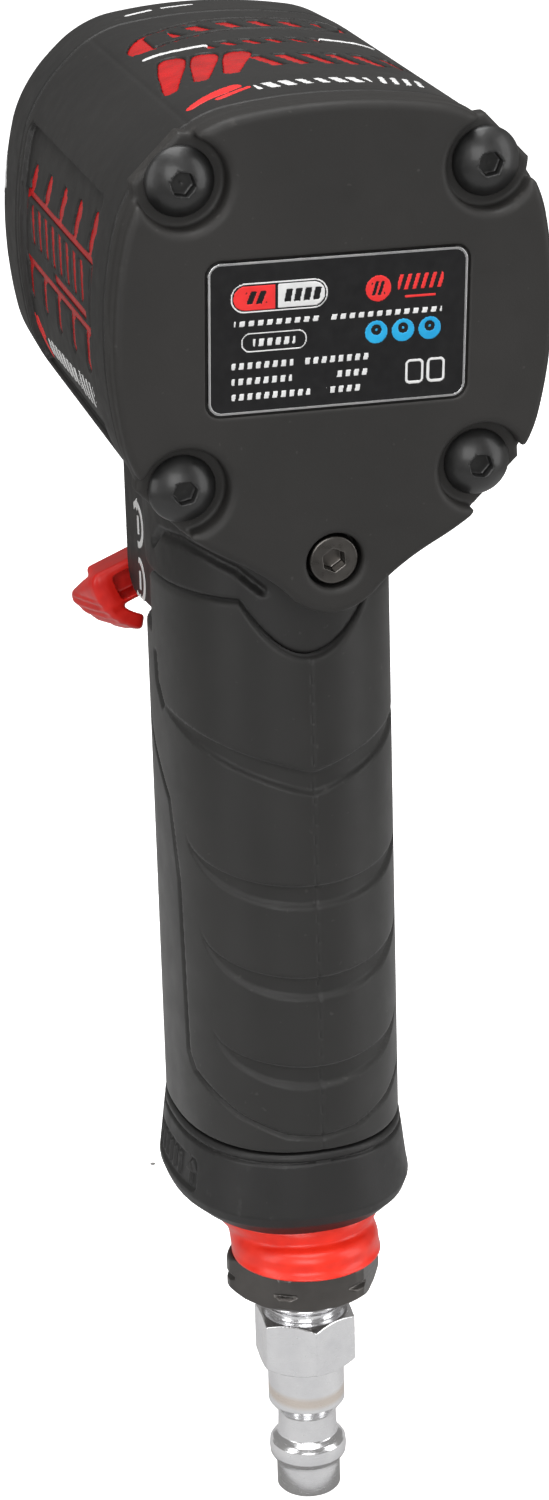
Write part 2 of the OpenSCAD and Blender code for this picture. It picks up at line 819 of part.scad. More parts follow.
// One wing of the reverse lever: an arm and a hooked finger pad, pointing to +X
module lever_wing() {
    arm_h = 6.4;
    pad_x = 11.4;
    pad_z = -0.2;
    pad_r = 11;
    pad_t = 2.6;
    pad_low = -57;
    pad_high = 20;
    difference() {
        translate([3, hub_y0, -arm_h / 2]) cube([17, hub_y1 - hub_y0, arm_h]);
        translate([7, hub_y0 - bite, -arm_h / 2 + 1.6]) cube([9, 3.2 + bite, arm_h - 3.2]);
    }
    y_extrude(hub_y1 - pad_l, hub_y1) polygon(concat(
        arc_pts(pad_x, pad_z, pad_r, pad_low, pad_high, 10),
        arc_pts(pad_x, pad_z, pad_r - pad_t, pad_high, pad_low, 10)));
}

module reverse_lever() {
    color("red") on_valve_axis() difference() {
        rotate([0, lever_rest, 0]) {
            y_cyl(hub_y0, hub_y1, hub_r);
            lever_wing();
            mirror([1, 0, 0]) lever_wing();
        }
        y_cyl(hub_y0 - bite, hub_y1 + bite, stem_r + 0.3);
        y_cyl(hub_y0 + 3.4, hub_y1 + bite, valve_bore_r + fit);
    }
}

module detent_ball() {
    color("silver") on_valve_axis() translate([0, detent_y, valve_bore_r - 0.5 + detent_r])
        sphere(r = detent_r, $fn = 32);
}

module detent_spring() {
    z0 = valve_bore_r - 0.5 + 2 * detent_r + 0.05;
    color("silver") on_valve_axis() translate([0, detent_y, z0])
        coil(0.7, 0.2, valve_bore_r + 8 - z0 - 0.1, 4);
}

// Base of the grip

// One thin oval slab for hull()
module oval_slab(z, a, b) {
    translate([0, 0, z]) linear_extrude(0.4) polygon(oval_pts(a, b, 48));
}

module base_cap() {
    color("black") in_grip() difference() {
        union() {
            hull() {
                oval_slab(cap_z0 - 0.4, grip_a + 0.1, grip_b);
                oval_slab(cap_z0 - 9, grip_a + cap_flare, grip_b + 0.4);
            }
            hull() {
                oval_slab(cap_z0 - 9, grip_a + cap_flare, grip_b + 0.4);
                oval_slab(cap_z1, grip_a - 1.6, grip_b - 2);
            }
        }
        translate([0, 0, cap_z1 + 2])
            linear_extrude(cap_l) polygon(oval_pts(core_a - 1.5, core_b - 1.5, 48));
        translate([0, inlet_y, cap_z1 - bite]) cylinder(h = cap_l, r = shank_r + gap);
        for (s = [-1, 1]) translate([s * 4.5, -9, cap_z1 - bite]) cylinder(h = cap_l, r = 5);
        translate([-4.5, -14, cap_z1 - bite]) cube([9, 10, cap_l]);
    }
}

module exhaust_collar() {
    color("red") in_grip() difference() {
        union() {
            hull() {
                oval_slab(cap_z1 - 0.5, grip_a - 2.6, grip_b - 3);
                translate([0, inlet_y + 2, cap_z1 - 3.8]) cylinder(h = 0.4, r = 12.2, $fn = 48);
            }
            translate([0, inlet_y + 1.5, lip_z]) cylinder(h = 4.2, r = 11.4);
        }
        translate([0, inlet_y, lip_z - bite]) cylinder(h = cap_l, r = shank_r + gap);
        for (s = [-1, 1]) translate([s * 4.5, -9, lip_z - bite]) cylinder(h = cap_l, r = 4);
        translate([-4.5, -13, lip_z - bite]) cube([9, 8, cap_l]);
    }
}

module muffler() {
    color("beige") in_grip() difference() {
        translate([0, 0, cap_z1 + 2.2])
            linear_extrude(cap_l - 3.2) polygon(oval_pts(core_a - 1.8, core_b - 1.8, 48));
        translate([0, inlet_y, cap_z1]) cylinder(h = cap_l, r = shank_r + gap);
    }
}

// A hexagon on the inlet's axis with its corners turned down to corner_r
module inlet_hex(z1, z0, af, corner_r, turn) {
    intersection() {
        translate([0, 0, z1]) rotate([0, 0, turn]) cylinder(h = z0 - z1, r = af / 2 / cos(30), $fn = 6);
        translate([0, 0, z1]) rotate_extrude()
            polygon([[0, 0], [corner_r - 1, 0], [corner_r, 1], [corner_r, z0 - z1 - 0.6],
                [corner_r - 0.6, z0 - z1], [0, z0 - z1]]);
    }
}

module inlet_bushing() {
    color("dimgray") in_grip() translate([0, inlet_y, 0]) difference() {
        union() {
            inlet_hex(hex_z1, hex_z0, bushing_af, bushing_af / 2 + 1.15, 0);
            translate([0, 0, hex_z0 - 0.5]) cylinder(h = shank_z - hex_z0 + 0.5, r = shank_r);
        }
        translate([0, 0, hex_z1 - bite]) cylinder(h = shank_z - hex_z1 + 2 * bite, r = 4.6);
        translate([0, 0, hex_z1 - bite]) cylinder(h = 11 + bite, r = thread_r + fit);
        translate([0, 0, shank_z - 6]) difference() {
            cylinder(h = 2, r = shank_r + bite);
            translate([0, 0, -bite]) cylinder(h = 2 + 2 * bite, r = shank_r - 1.3);
        }
    }
}

module inlet_o_ring() {
    color("black") in_grip() translate([0, inlet_y, shank_z - 5])
        rotate_extrude() translate([shank_r - 0.68, 0]) circle(r = 0.6, $fn = 24);
}

module inlet_screen() {
    color("gray") in_grip() translate([0, inlet_y, hex_z1 + 11.2]) difference() {
        cylinder(h = 0.8, r = 4.5);
        for (i = [0 : 5]) rotate([0, 0, 60 * i]) translate([2.6, 0, -bite]) cylinder(h = 3, r = 0.8);
        translate([0, 0, -bite]) cylinder(h = 3, r = 0.8);
    }
}

module air_nipple() {
    z_top = hex_z1 + 10.5;
    z_shoulder = nipple_hex_z1 - shoulder_len;
    color("silver") in_grip() translate([0, inlet_y, 0]) difference() {
        union() {
            translate([0, 0, nipple_hex_z0 - 0.3]) cylinder(h = z_top - nipple_hex_z0 + 0.3, r = thread_r);
            inlet_hex(nipple_hex_z1, nipple_hex_z0, nipple_af, nipple_af / 2 + 0.95, nipple_turn);
            rotate_extrude() polygon([[0, nipple_hex_z1 + 1], [bead_r - 0.07, nipple_hex_z1 + 1],
                [bead_r - 0.07, z_shoulder], [neck_r, z_shoulder - 2.2], [neck_r, bead_z + 2.2],
                [bead_r - 0.4, bead_z + 1.5], [bead_r, bead_z + 0.9], [bead_r, bead_z - 0.9],
                [bead_r - 0.4, bead_z - 1.5], [tip_r, bead_z - 2], [tip_r, tip_z + 0.4],
                [tip_r - 0.4, tip_z], [0, tip_z]]);
        }
        translate([0, 0, tip_z - bite]) cylinder(h = z_top - tip_z + 2 * bite, r = nipple_bore_r);
    }
}

anvil();
friction_ring();
friction_o_ring();
anvil_bushing();
thrust_washer();
hammer_case();
case_gasket();
hammer_cage();
hammer_pins();
front_hammer();
rear_hammer();
rotor();
rotor_vanes();
motor_cylinder();
cylinder_dowel();
front_end_plate();
rear_end_plate();
front_bearing_outer();
front_bearing_inner();
rear_bearing_outer();
rear_bearing_inner();
bearing_balls();
bearing_retainers();
wave_washer();
motor_housing();
cover_gasket();
rear_cover();
cover_screws();
chin_screw();
rating_plate();
grip_sleeve();
trigger();
trigger_pin();
throttle_valve();
throttle_spring();
throttle_seat();
valve_bushing();
bushing_o_rings();
reverse_valve();
reverse_lever();
detent_ball();
detent_spring();
base_cap();
exhaust_collar();
muffler();
inlet_bushing();
inlet_o_ring();
inlet_screen();
air_nipple();
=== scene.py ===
import json
import math
from functools import reduce

import bpy
import numpy as np
from mathutils import Matrix, Vector


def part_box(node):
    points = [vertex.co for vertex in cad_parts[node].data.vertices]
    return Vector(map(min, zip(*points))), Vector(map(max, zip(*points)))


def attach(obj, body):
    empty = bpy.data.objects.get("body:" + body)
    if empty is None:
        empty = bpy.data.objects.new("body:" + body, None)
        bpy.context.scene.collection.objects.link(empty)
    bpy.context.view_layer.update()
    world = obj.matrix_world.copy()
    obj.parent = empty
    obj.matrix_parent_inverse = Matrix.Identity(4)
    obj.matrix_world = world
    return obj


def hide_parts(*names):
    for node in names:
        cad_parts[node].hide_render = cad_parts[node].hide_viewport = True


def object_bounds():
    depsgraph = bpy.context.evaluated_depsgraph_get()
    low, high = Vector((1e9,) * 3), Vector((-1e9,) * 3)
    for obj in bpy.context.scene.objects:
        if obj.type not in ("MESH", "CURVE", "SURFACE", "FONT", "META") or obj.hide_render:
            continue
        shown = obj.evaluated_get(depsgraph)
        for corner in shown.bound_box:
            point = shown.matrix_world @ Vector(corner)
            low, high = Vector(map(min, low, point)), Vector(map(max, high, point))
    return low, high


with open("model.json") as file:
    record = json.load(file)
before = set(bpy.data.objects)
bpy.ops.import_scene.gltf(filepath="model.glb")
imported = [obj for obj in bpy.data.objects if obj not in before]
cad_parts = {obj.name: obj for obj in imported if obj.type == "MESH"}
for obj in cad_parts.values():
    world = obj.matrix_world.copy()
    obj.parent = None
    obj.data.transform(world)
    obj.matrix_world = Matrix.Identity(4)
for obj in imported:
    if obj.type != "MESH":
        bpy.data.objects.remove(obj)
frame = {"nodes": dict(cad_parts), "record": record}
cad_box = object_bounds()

# Lengths are millimetres in the row frame until a mesh is made: -Y is the way the drive points,
# +Z is up, +X is the tool's left. A shape is a signed distance function, negative inside.

MM = 0.001
COARSE = 1.0
FAR = 1e3               # a distance from nothing at all


def box_mm(node):
    low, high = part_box(node)
    return np.array(low) / MM, np.array(high) / MM


# Measures that come from the frame
gasket_low, gasket_high = box_mm("case_gasket")
BODY_HALF = gasket_high[0]
BODY_TOP = gasket_high[2]
HOUSING_Y0 = gasket_high[1]
CASE_Y1 = gasket_low[1]
HOUSING_Y1 = box_mm("cover_gasket")[0][1]
COVER_Y0 = box_mm("cover_gasket")[1][1]
FACE_Y = box_mm("rear_cover")[1][1]
SEAT_Y = COVER_Y0 + 3             # under the four screws' heads
SCREW_HEAD_R = 4.7
SOCKET_AF = 3.0
SCREW_XZ = box_mm("cover_screws")[1][0] - SCREW_HEAD_R
CHIN_R = 7.6
CHIN_Z = box_mm("rear_cover")[0][2] + CHIN_R
CHIN_SEAT_Y = COVER_Y0 + 1.5
NOSE_Y = box_mm("hammer_case")[0][1]
PLATE_LOW, PLATE_HIGH = box_mm("rating_plate")

# The body's outline
TOP_R = 81
SIDE_R = 64
CUT = 33.1              # from the axis to the flats across the corners
BLEND = 7               # where the chin leaves the body
POCKET_R = 6.1
CAGE_BORE_R = 25
MOTOR_BORE_R = 21.6
SURFACE = 20            # marks on the body lie further out than this

# The grip's frame: z runs up the grip, y to the rear
LEAN = math.radians(6.5)
GRIP_Y = HOUSING_Y0 + 21.1
GRIP_A = 16.9
GRIP_B = 22.7
OVAL = 2.3
MM_PER_DEG = 0.347      # along the grip's side, for an angle about its axis from the back
LEDGE_DIP = 8.2         # how far the rubber's top edge dips at the back
DIP_DEG = 33
VALVE_Z = -47.5
INLET_Y = 9.8
INLET_R = 8.8
GRIP_END = -129.5
CAP_Z0 = GRIP_END - 0.3
CAP_Z1 = CAP_Z0 - 14.2
LIP_Z = CAP_Z1 - 6.5
HEX_Z0 = LIP_Z - 0.1
HEX_Z1 = HEX_Z0 - 6.2
THREAD_L = 10.5         # of the nipple, inside the bushing
NIPPLE_Z0 = HEX_Z1 - 4.6
NIPPLE_Z1 = NIPPLE_Z0 - 8.7
BEAD_Z = NIPPLE_Z1 - 15
TIP_Z = BEAD_Z - 7.1
LEVER_REST = math.radians(22)
LEVER_Y1 = -27.3        # the lever's rear face


# Distance functions ---------------------------------------------------------------------------

def smax(a, b, k):
    """The larger of two distances, with the edge between them rounded over about k."""
    h = np.maximum(k - np.abs(a - b), 0) / k
    return np.maximum(a, b) + h * h * k / 4


def smin(a, b, k):
    return -smax(-a, -b, k)


def shared(*distances):
    """The part that lies inside every shape."""
    return reduce(np.maximum, distances)


def joined(*distances):
    """All the shapes together."""
    return reduce(np.minimum, distances)


def slab(d2, along, low, high, edge):
    """A flat shape with distance d2, extruded from low to high, with its edges rounded."""
    u = d2 + edge
    v = np.abs(along - (low + high) / 2) - (high - low) / 2 + edge
    return np.hypot(np.maximum(u, 0), np.maximum(v, 0)) + np.minimum(np.maximum(u, v), 0) - edge


def rect(u, v, u0, v0, half_u, half_v, corner):
    """A rectangle about (u0, v0) with round corners."""
    a = np.abs(u - u0) - half_u + corner
    b = np.abs(v - v0) - half_v + corner
    return np.hypot(np.maximum(a, 0), np.maximum(b, 0)) + np.minimum(np.maximum(a, b), 0) - corner


def stroke(u, v, start, end, r):
    """A line with round ends."""
    du, dv = end[0] - start[0], end[1] - start[1]
    t = np.clip(((u - start[0]) * du + (v - start[1]) * dv) / (du * du + dv * dv), 0, 1)
    return np.hypot(u - start[0] - t * du, v - start[1] - t * dv) - r


def hexagon(u, v, af, turn):
    """A hexagon about the origin, af across its flats, with a corner at angle turn in degrees."""
    d = -af
    for k in range(3):
        a = math.radians(turn + 30 + 60 * k)
        d = np.maximum(d, np.abs(u * math.cos(a) + v * math.sin(a)) - af / 2)
    return d


def oval(x, y, a, b):
    """A superellipse with half axes a and b, to first order."""
    u, v = np.abs(x / a) + 1e-6, np.abs(y / b) + 1e-6
    g = (u ** OVAL + v ** OVAL) ** (1 / OVAL)
    slope = np.hypot((u / g) ** (OVAL - 1) / a, (v / g) ** (OVAL - 1) / b)
    return (g - 1) / slope


def body2d(x, z, corner=3.0):
    """The body's section: crowned top, bowed sides and cut corners."""
    u, v = np.abs(x), np.abs(z)
    top = np.hypot(u, v - BODY_TOP + TOP_R) - TOP_R
    side = np.hypot(u - BODY_HALF + SIDE_R, v) - SIDE_R
    return smax(smax(top, side, corner), (u + v) / math.sqrt(2) - CUT, corner)


def chin2d(x, z):
    """The tongue below the body, around the chin screw."""
    flank = (np.abs(x) - z + CHIN_Z) / math.sqrt(2) - CHIN_R
    wedge = shared(flank, CHIN_Z - CHIN_R / math.sqrt(2) - z, z + 24)
    return smin(wedge, np.hypot(x, z - CHIN_Z) - CHIN_R, 0.5)


def cover2d(x, z):
    return smin(body2d(x, z), chin2d(x, z), BLEND)


def screw_distance(x, z):
    return np.hypot(np.abs(x) - SCREW_XZ, np.abs(z) - SCREW_XZ)


def groove(u, v, points, width, depth):
    """A V groove along a line, as a depth."""
    d = FAR
    for a, b in zip(points, points[1:]):
        d = np.minimum(d, stroke(u, v, (a[0] * MM_PER_DEG, a[1]), (b[0] * MM_PER_DEG, b[1]), 0))
    return depth * np.maximum(1 - d / width, 0)


def grip_angle(x, yl):
    """Degrees about the grip's axis, from the back, the same on both sides."""
    return np.degrees(np.arctan2(np.abs(x) / GRIP_A, yl / GRIP_B))


def ledge_dip(angle):
    """1 at the back of the grip, where its top edge is lowest, and 0 from DIP_DEG on."""
    return np.maximum(1 - (angle / DIP_DEG) ** 2, 0)


def plateau(across):
    """0 outside 0..1, and 1 inside but for a steep slope at each end."""
    return np.minimum(np.minimum(across, 1 - across) * 6, 1)


def to_grip(y, z):
    """Row coordinates to the grip's own y and z."""
    c, s = math.cos(LEAN), math.sin(LEAN)
    return (y - GRIP_Y) * c + z * s, (GRIP_Y - y) * s + z * c


def from_grip(x, y, z):
    c, s = math.cos(LEAN), math.sin(LEAN)
    return Vector((x, GRIP_Y + y * c - z * s, y * s + z * c))


# Meshes ---------------------------------------------------------------------------------------

CORNERS = [(i, j, k) for i in (0, 1) for j in (0, 1) for k in (0, 1)]
EDGES = [(a, b) for a in CORNERS for b in CORNERS if a < b and sum(abs(p - q) for p, q in zip(a, b)) == 1]


def add_object(name, data):
    made = bpy.data.objects.new(name, data)
    bpy.context.scene.collection.objects.link(made)
    return made


def net(shape, low, high, step):
    """Vertices and quads on the surface of a shape inside a box, about one vertex per step."""
    axes = [np.arange(low[i] - 1.5 * step, high[i] + 2.5 * step, step, dtype=np.float32) for i in range(3)]
    f = shape(*np.meshgrid(*axes, indexing="ij", sparse=True))
    inside = f < 0
    n = [s - 1 for s in f.shape]
    filled = np.zeros(n, np.int8)
    for i, j, k in CORNERS:
        filled += inside[i:n[0] + i, j:n[1] + j, k:n[2] + k]
    active = (filled > 0) & (filled < 8)
    number = np.full(n, -1, np.int32)
    cells = np.argwhere(active)
    number[active] = np.arange(len(cells))
    total = np.zeros((len(cells), 3))
    count = np.zeros(len(cells))
    for a, b in EDGES:
        fa = f[tuple((cells + a).T)]
        fb = f[tuple((cells + b).T)]
        cross = (fa < 0) != (fb < 0)
        t = np.where(cross, fa / np.where(cross, fa - fb, 1), 0)
        total += cross[:, None] * (np.array(a) + t[:, None] * (np.array(b) - np.array(a)))
        count += cross
    points = np.array([axes[i][0] for i in range(3)]) + (cells + total / count[:, None]) * step
    quads = []
    for axis in range(3):
        p, q = (axis + 1) % 3, (axis + 2) % 3
        lower = np.take(inside, range(n[axis]), axis=axis)
        upper = np.take(inside, range(1, n[axis] + 1), axis=axis)
        at = np.argwhere(lower != upper)
        at = at[(at[:, p] > 0) & (at[:, q] > 0) & (at[:, p] < n[p]) & (at[:, q] < n[q])]
        ring = []
        for dp, dq in ((-1, -1), (0, -1), (0, 0), (-1, 0)):
            cell = at.copy()
            cell[:, p] += dp
            cell[:, q] += dq
            ring.append(number[tuple(cell.T)])
        ring = np.stack(ring, 1)
        outward = lower[tuple(at.T)]
        quads.append(np.where(outward[:, None], ring, ring[:, ::-1]))
    return points, np.concatenate(quads)


def settle(shape, points, step, rounds=2):
    """Moves points onto the surface along its gradient, by half a step at most in a round."""
    h = step * 0.2
    for _ in range(rounds):
        d = shape(*points.T)
        slope = np.stack([shape(*(points + h * np.eye(3)[i]).T) - d for i in range(3)], 1) / h
        size = np.maximum((slope ** 2).sum(1), 0.2)
        points = points - (np.clip(d, -0.5 * step, 0.5 * step) / size)[:, None] * slope
    return points


def piece(name, shape, low, high, step, material, body="tool", replaces=(), slot=None):
    """Makes a mesh object from a shape, kept inside the box from low to high, that rides on its body."""
    step = step * COARSE
    points, quads = net(shape, low, high, step)
    points = np.clip(settle(shape, points, step), low, high)
    mesh = bpy.data.meshes.new(name)
    mesh.vertices.add(len(points))
    mesh.vertices.foreach_set("co", (points * MM).astype(np.float32).ravel())
    mesh.loops.add(quads.size)
    mesh.loops.foreach_set("vertex_index", quads.astype(np.int32).ravel())
    mesh.polygons.add(len(quads))
    mesh.polygons.foreach_set("loop_start", np.arange(0, quads.size, 4, dtype=np.int32))
    mesh.update(calc_edges=True)
    mesh.validate()
    mesh.shade_smooth()
    made = add_object(name, mesh)
    made.data.materials.append(material)
    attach(made, body)
    if replaces:
        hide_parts(*replaces)
    return made


def in_grip(shape):
    """A shape drawn in the grip's frame, as one in the row frame."""
    def turned(x, y, z):
        yl, zl = to_grip(y, z)
        return shape(x, yl, zl)
    return turned


def grip_piece(name, shape, low, high, step, material, **settings):
    """A piece drawn in the grip's frame: low and high are its box there."""
    corners = [from_grip(0, y, z) for y in (low[1], high[1]) for z in (low[2], high[2])]
    row_low = (low[0], min(c.y for c in corners), min(c.z for c in corners))
    row_high = (high[0], max(c.y for c in corners), max(c.z for c in corners))
    return piece(name, in_grip(shape), row_low, row_high, step, material, **settings)


# Materials ------------------------------------------------------------------------------------

# The colour sockets of a Mix node
COLOUR_A = 6
COLOUR_B = 7
COLOUR_OUT = 2


class Nodes:
    """A material under construction, with short calls for the nodes that are used here."""

    def __init__(self, name, roughness, metallic=0.0, specular=0.5, coat=0.0, coat_roughness=0.1, sheen=0.0):
        self.material = bpy.data.materials.new(name)
        self.material.use_nodes = True
        self.tree = self.material.node_tree
        self.shader = self.tree.nodes["Principled BSDF"]
        self.shader.inputs["Roughness"].default_value = roughness
        self.shader.inputs["Metallic"].default_value = metallic
        self.shader.inputs["Specular IOR Level"].default_value = specular
        self.shader.inputs["Coat Weight"].default_value = coat
        self.shader.inputs["Coat Roughness"].default_value = coat_roughness
        self.shader.inputs["Sheen Weight"].default_value = sheen
        self.place = self.tree.nodes.new("ShaderNodeTexCoord").outputs["Object"]
        self.bumps = None

    def node(self, kind, **settings):
        made = self.tree.nodes.new(kind)
        for key, value in settings.items():
            setattr(made, key, value)
        return made

    def link(self, a, b):
        self.tree.links.new(a, b)

    def noise(self, scale, detail=3.0, stretch=None):
        """Noise with features of about 1/scale millimetres."""
        made = self.node("ShaderNodeTexNoise")
        made.inputs["Scale"].default_value = scale / MM
        made.inputs["Detail"].default_value = detail
        source = self.place
        if stretch:
            mapping = self.node("ShaderNodeMapping")
            mapping.inputs["Scale"].default_value = stretch
            self.link(source, mapping.inputs["Vector"])
            source = mapping.outputs["Vector"]
        self.link(source, made.inputs["Vector"])
        return made.outputs["Fac"]

    def ramp(self, value, low, high, start, end):
        """Maps value from low..high to start..end."""
        made = self.node("ShaderNodeMapRange")
        made.inputs["From Min"].default_value = low
        made.inputs["From Max"].default_value = high
        made.inputs["To Min"].default_value = start
        made.inputs["To Max"].default_value = end
        self.link(value, made.inputs["Value"])
        return made.outputs["Result"]

    def mix(self, factor, a, b):
        """A colour between a and b, each a colour or an output."""
        made = self.node("ShaderNodeMix", data_type="RGBA")
        self.link(factor, made.inputs["Factor"])
        for socket, value in ((made.inputs[COLOUR_A], a), (made.inputs[COLOUR_B], b)):
            if isinstance(value, tuple):
                socket.default_value = (*value, 1)
            else:
                self.link(value, socket)
        return made.outputs[COLOUR_OUT]

    def bump(self, height, strength, distance):
        made = self.node("ShaderNodeBump")
        made.inputs["Strength"].default_value = strength
        made.inputs["Distance"].default_value = distance * MM
        self.link(height, made.inputs["Height"])
        if self.bumps:
            self.link(self.bumps, made.inputs["Normal"])
        self.bumps = made.outputs["Normal"]
        self.link(self.bumps, self.shader.inputs["Normal"])

    def colour(self, value):
        self.link(value, self.shader.inputs["Base Color"])

    def roughness(self, value):
        self.link(value, self.shader.inputs["Roughness"])

    def glow(self, strength):
        self.shader.inputs["Emission Color"].default_value = (1, 1, 1, 1)
        self.shader.inputs["Emission Strength"].default_value = strength

    def calculate(self, operation, a, b=None):
        """A Math node on the output a and, where given, an output or a number b."""
        made = self.node("ShaderNodeMath", operation=operation)
        self.link(a, made.inputs[0])
        if isinstance(b, float):
            made.inputs[1].default_value = b
        elif b is not None:
            self.link(b, made.inputs[1])
        return made.outputs[0]

    def edges(self, low, high):
        """How convex the surface is, from its own mesh: 1 on worn edges."""
        made = self.node("ShaderNodeNewGeometry")
        return self.ramp(made.outputs["Pointiness"], low, high, 0.0, 1.0)


def lighter(colour, times):
    return tuple(min(1, times * c) for c in colour)


def moulded(name, dark, light, rough, grain=3.5, grain_height=0.03, wear=0.35):
    """Moulded plastic: fine grain, cloudy tone, edges rubbed a little lighter and specks of dust."""
    m = Nodes(name, rough, specular=0.42)
    cloud = m.noise(0.05, 2)
    tone = m.mix(m.ramp(cloud, 0.35, 0.65, 0, 1), dark, light)
    speck = m.ramp(m.noise(0.9, 1), 0.74, 0.80, 0, 0.5)
    tone = m.mix(speck, tone, lighter(light, 2.6))
    rub = m.ramp(m.noise(1.3, 4), 0.45, 0.7, 0.1, wear)
    worn = m.calculate("MULTIPLY", m.edges(0.52, 0.60), rub)
    m.colour(m.mix(worn, tone, lighter(light, 3.2)))
    m.roughness(m.ramp(m.noise(0.35, 3), 0.3, 0.7, rough - 0.05, rough + 0.07))
    m.bump(m.noise(grain, 2), 0.35, grain_height)
    return m.material


def rubber(name, dark, light, rough):
    """Soft overmoulding: nearly smooth, with a faint sheen and dust."""
    m = Nodes(name, rough, specular=0.4, sheen=0.12)
    tone = m.mix(m.ramp(m.noise(0.06, 2), 0.35, 0.65, 0, 1), dark, light)
    dust = m.ramp(m.noise(0.8, 1), 0.73, 0.79, 0, 0.45)
    m.colour(m.mix(dust, tone, tuple(3 * c for c in light)))
    m.roughness(m.ramp(m.noise(0.25, 3), 0.3, 0.7, rough - 0.04, rough + 0.06))
    m.bump(m.noise(5, 2), 0.25, 0.012)
    return m.material


def enamel(name, dark, light, rough, coat, specular=0.5):
    """Paint or tinted plastic with a slight orange peel."""
    m = Nodes(name, rough, specular=specular, coat=coat, coat_roughness=0.12)
    m.colour(m.mix(m.ramp(m.noise(0.4, 2), 0.3, 0.7, 0, 1), dark, light))
    m.roughness(m.ramp(m.noise(0.8, 3), 0.3, 0.7, rough - 0.04, rough + 0.05))
    m.bump(m.noise(0.9, 2), 0.2, 0.03)
    return m.material


def metal(name, dark, light, rough, turned=None, scratch=0.15):
    """Machined metal: cloudy tone and fine marks, stretched across the turning axis."""
    m = Nodes(name, rough, metallic=1.0)
    marks = m.noise(1.0, 4, turned or (1, 8, 1))
    m.colour(m.mix(m.ramp(m.noise(0.12, 3), 0.3, 0.7, 0, 1), dark, light))
    m.roughness(m.ramp(marks, 0.25, 0.75, max(0.03, rough - 0.07), rough + 0.1))
    m.bump(marks, scratch, 0.012)
    return m.material


def nickel():
    """Satin nickel on the nipple, with a straw-coloured band behind the bead that is a painted reflection,
    level in the world.
    """
    m = Nodes("nickel", 0.2, metallic=1.0)
    position = m.node("ShaderNodeSeparateXYZ")
    m.link(m.place, position.inputs["Vector"])
    # A painted reflection: a straw-coloured band at one height in the world, mixed into the nickel's colour.
    reflection_z = from_grip(0, INLET_Y, NIPPLE_Z1 - 4.6)[2]
    away = m.calculate("ABSOLUTE", m.calculate("SUBTRACT", position.outputs["Z"], reflection_z * MM))
    painted_reflection = m.ramp(away, 0.4 * MM, 1.2 * MM, 0.55, 0.0)
    cloud = m.mix(m.ramp(m.noise(0.2, 3), 0.3, 0.7, 0, 1), (0.80, 0.80, 0.82), (0.92, 0.92, 0.93))
    m.colour(m.mix(painted_reflection, cloud, (0.72, 0.58, 0.45)))
    marks = m.noise(1.0, 4, (0.7, 0.7, 9))
    m.roughness(m.ramp(marks, 0.25, 0.75, 0.13, 0.3))
    m.bump(marks, 0.12, 0.01)
    return m.material


COVER = moulded("cover_plastic", (0.0186, 0.0177, 0.0167), (0.0236, 0.0223, 0.0211), 0.56)
HOUSING = moulded("housing_plastic", (0.0143, 0.0139, 0.0136), (0.0192, 0.0186, 0.0180), 0.5, wear=0.25)
CASE = moulded("case_paint", (0.0136, 0.0136, 0.0136), (0.0180, 0.0174, 0.0167), 0.48, grain=2.5, wear=0.3)
CAP = moulded("cap_plastic", (0.0124, 0.0124, 0.0121), (0.0167, 0.0161, 0.0161), 0.47)
GRIP = rubber("grip_rubber", (0.0149, 0.0146, 0.0139), (0.0192, 0.0186, 0.0177), 0.5)
SEAL = rubber("seal_rubber", (0.012, 0.012, 0.012), (0.02, 0.02, 0.02), 0.6)
RED = enamel("lever_red", (0.66, 0.010, 0.006), (0.80, 0.018, 0.010), 0.36, 0.0)
COLLAR_RED = enamel("collar_red", (0.88, 0.024, 0.010), (1.0, 0.036, 0.015), 0.34, 0.05)
INLAY_RED = enamel("inlay_red", (0.42, 0.001, 0.002), (0.60, 0.003, 0.004), 0.24, 0.05, 0.2)
PRINT_WHITE = enamel("print_white", (0.72, 0.72, 0.72), (0.85, 0.85, 0.85), 0.5, 0.0)
PRINT_RED = enamel("print_red", (0.80, 0.02, 0.02), (0.92, 0.03, 0.03), 0.5, 0.0)
PRINT_BLUE = enamel("print_blue", (0.01, 0.36, 0.72), (0.02, 0.45, 0.82), 0.4, 0.0)
SILVER = metal("silver_border", (0.45, 0.45, 0.46), (0.6, 0.6, 0.6), 0.35)
FILM = enamel("plate_film", (0.006, 0.006, 0.007), (0.010, 0.010, 0.011), 0.22, 0.3)
FORGED = metal("forged_steel", (0.28, 0.28, 0.29), (0.42, 0.42, 0.43), 0.36)
STEEL = metal("bright_steel", (0.55, 0.55, 0.56), (0.72, 0.72, 0.73), 0.24)
DARK_STEEL = metal("dark_steel", (0.10, 0.095, 0.09), (0.17, 0.16, 0.15), 0.3)
GUNMETAL = metal("gunmetal", (0.085, 0.08, 0.077), (0.135, 0.127, 0.12), 0.34, (1, 1, 7))
BRONZE = metal("bronze", (0.36, 0.25, 0.11), (0.52, 0.38, 0.18), 0.35)
IRON = metal("motor_iron", (0.2, 0.2, 0.21), (0.3, 0.3, 0.31), 0.4)
BLACK_SCREW = enamel("black_screw", (0.012, 0.012, 0.012), (0.02, 0.02, 0.02), 0.4, 0.15)
FIBRE = moulded("gasket_fibre", (0.020, 0.018, 0.016), (0.030, 0.027, 0.024), 0.8)
VANE = moulded("vane_composite", (0.17, 0.08, 0.035), (0.24, 0.12, 0.055), 0.5)
FELT = rubber("muffler_felt", (0.42, 0.39, 0.33), (0.55, 0.52, 0.45), 0.9)
NICKEL = nickel()

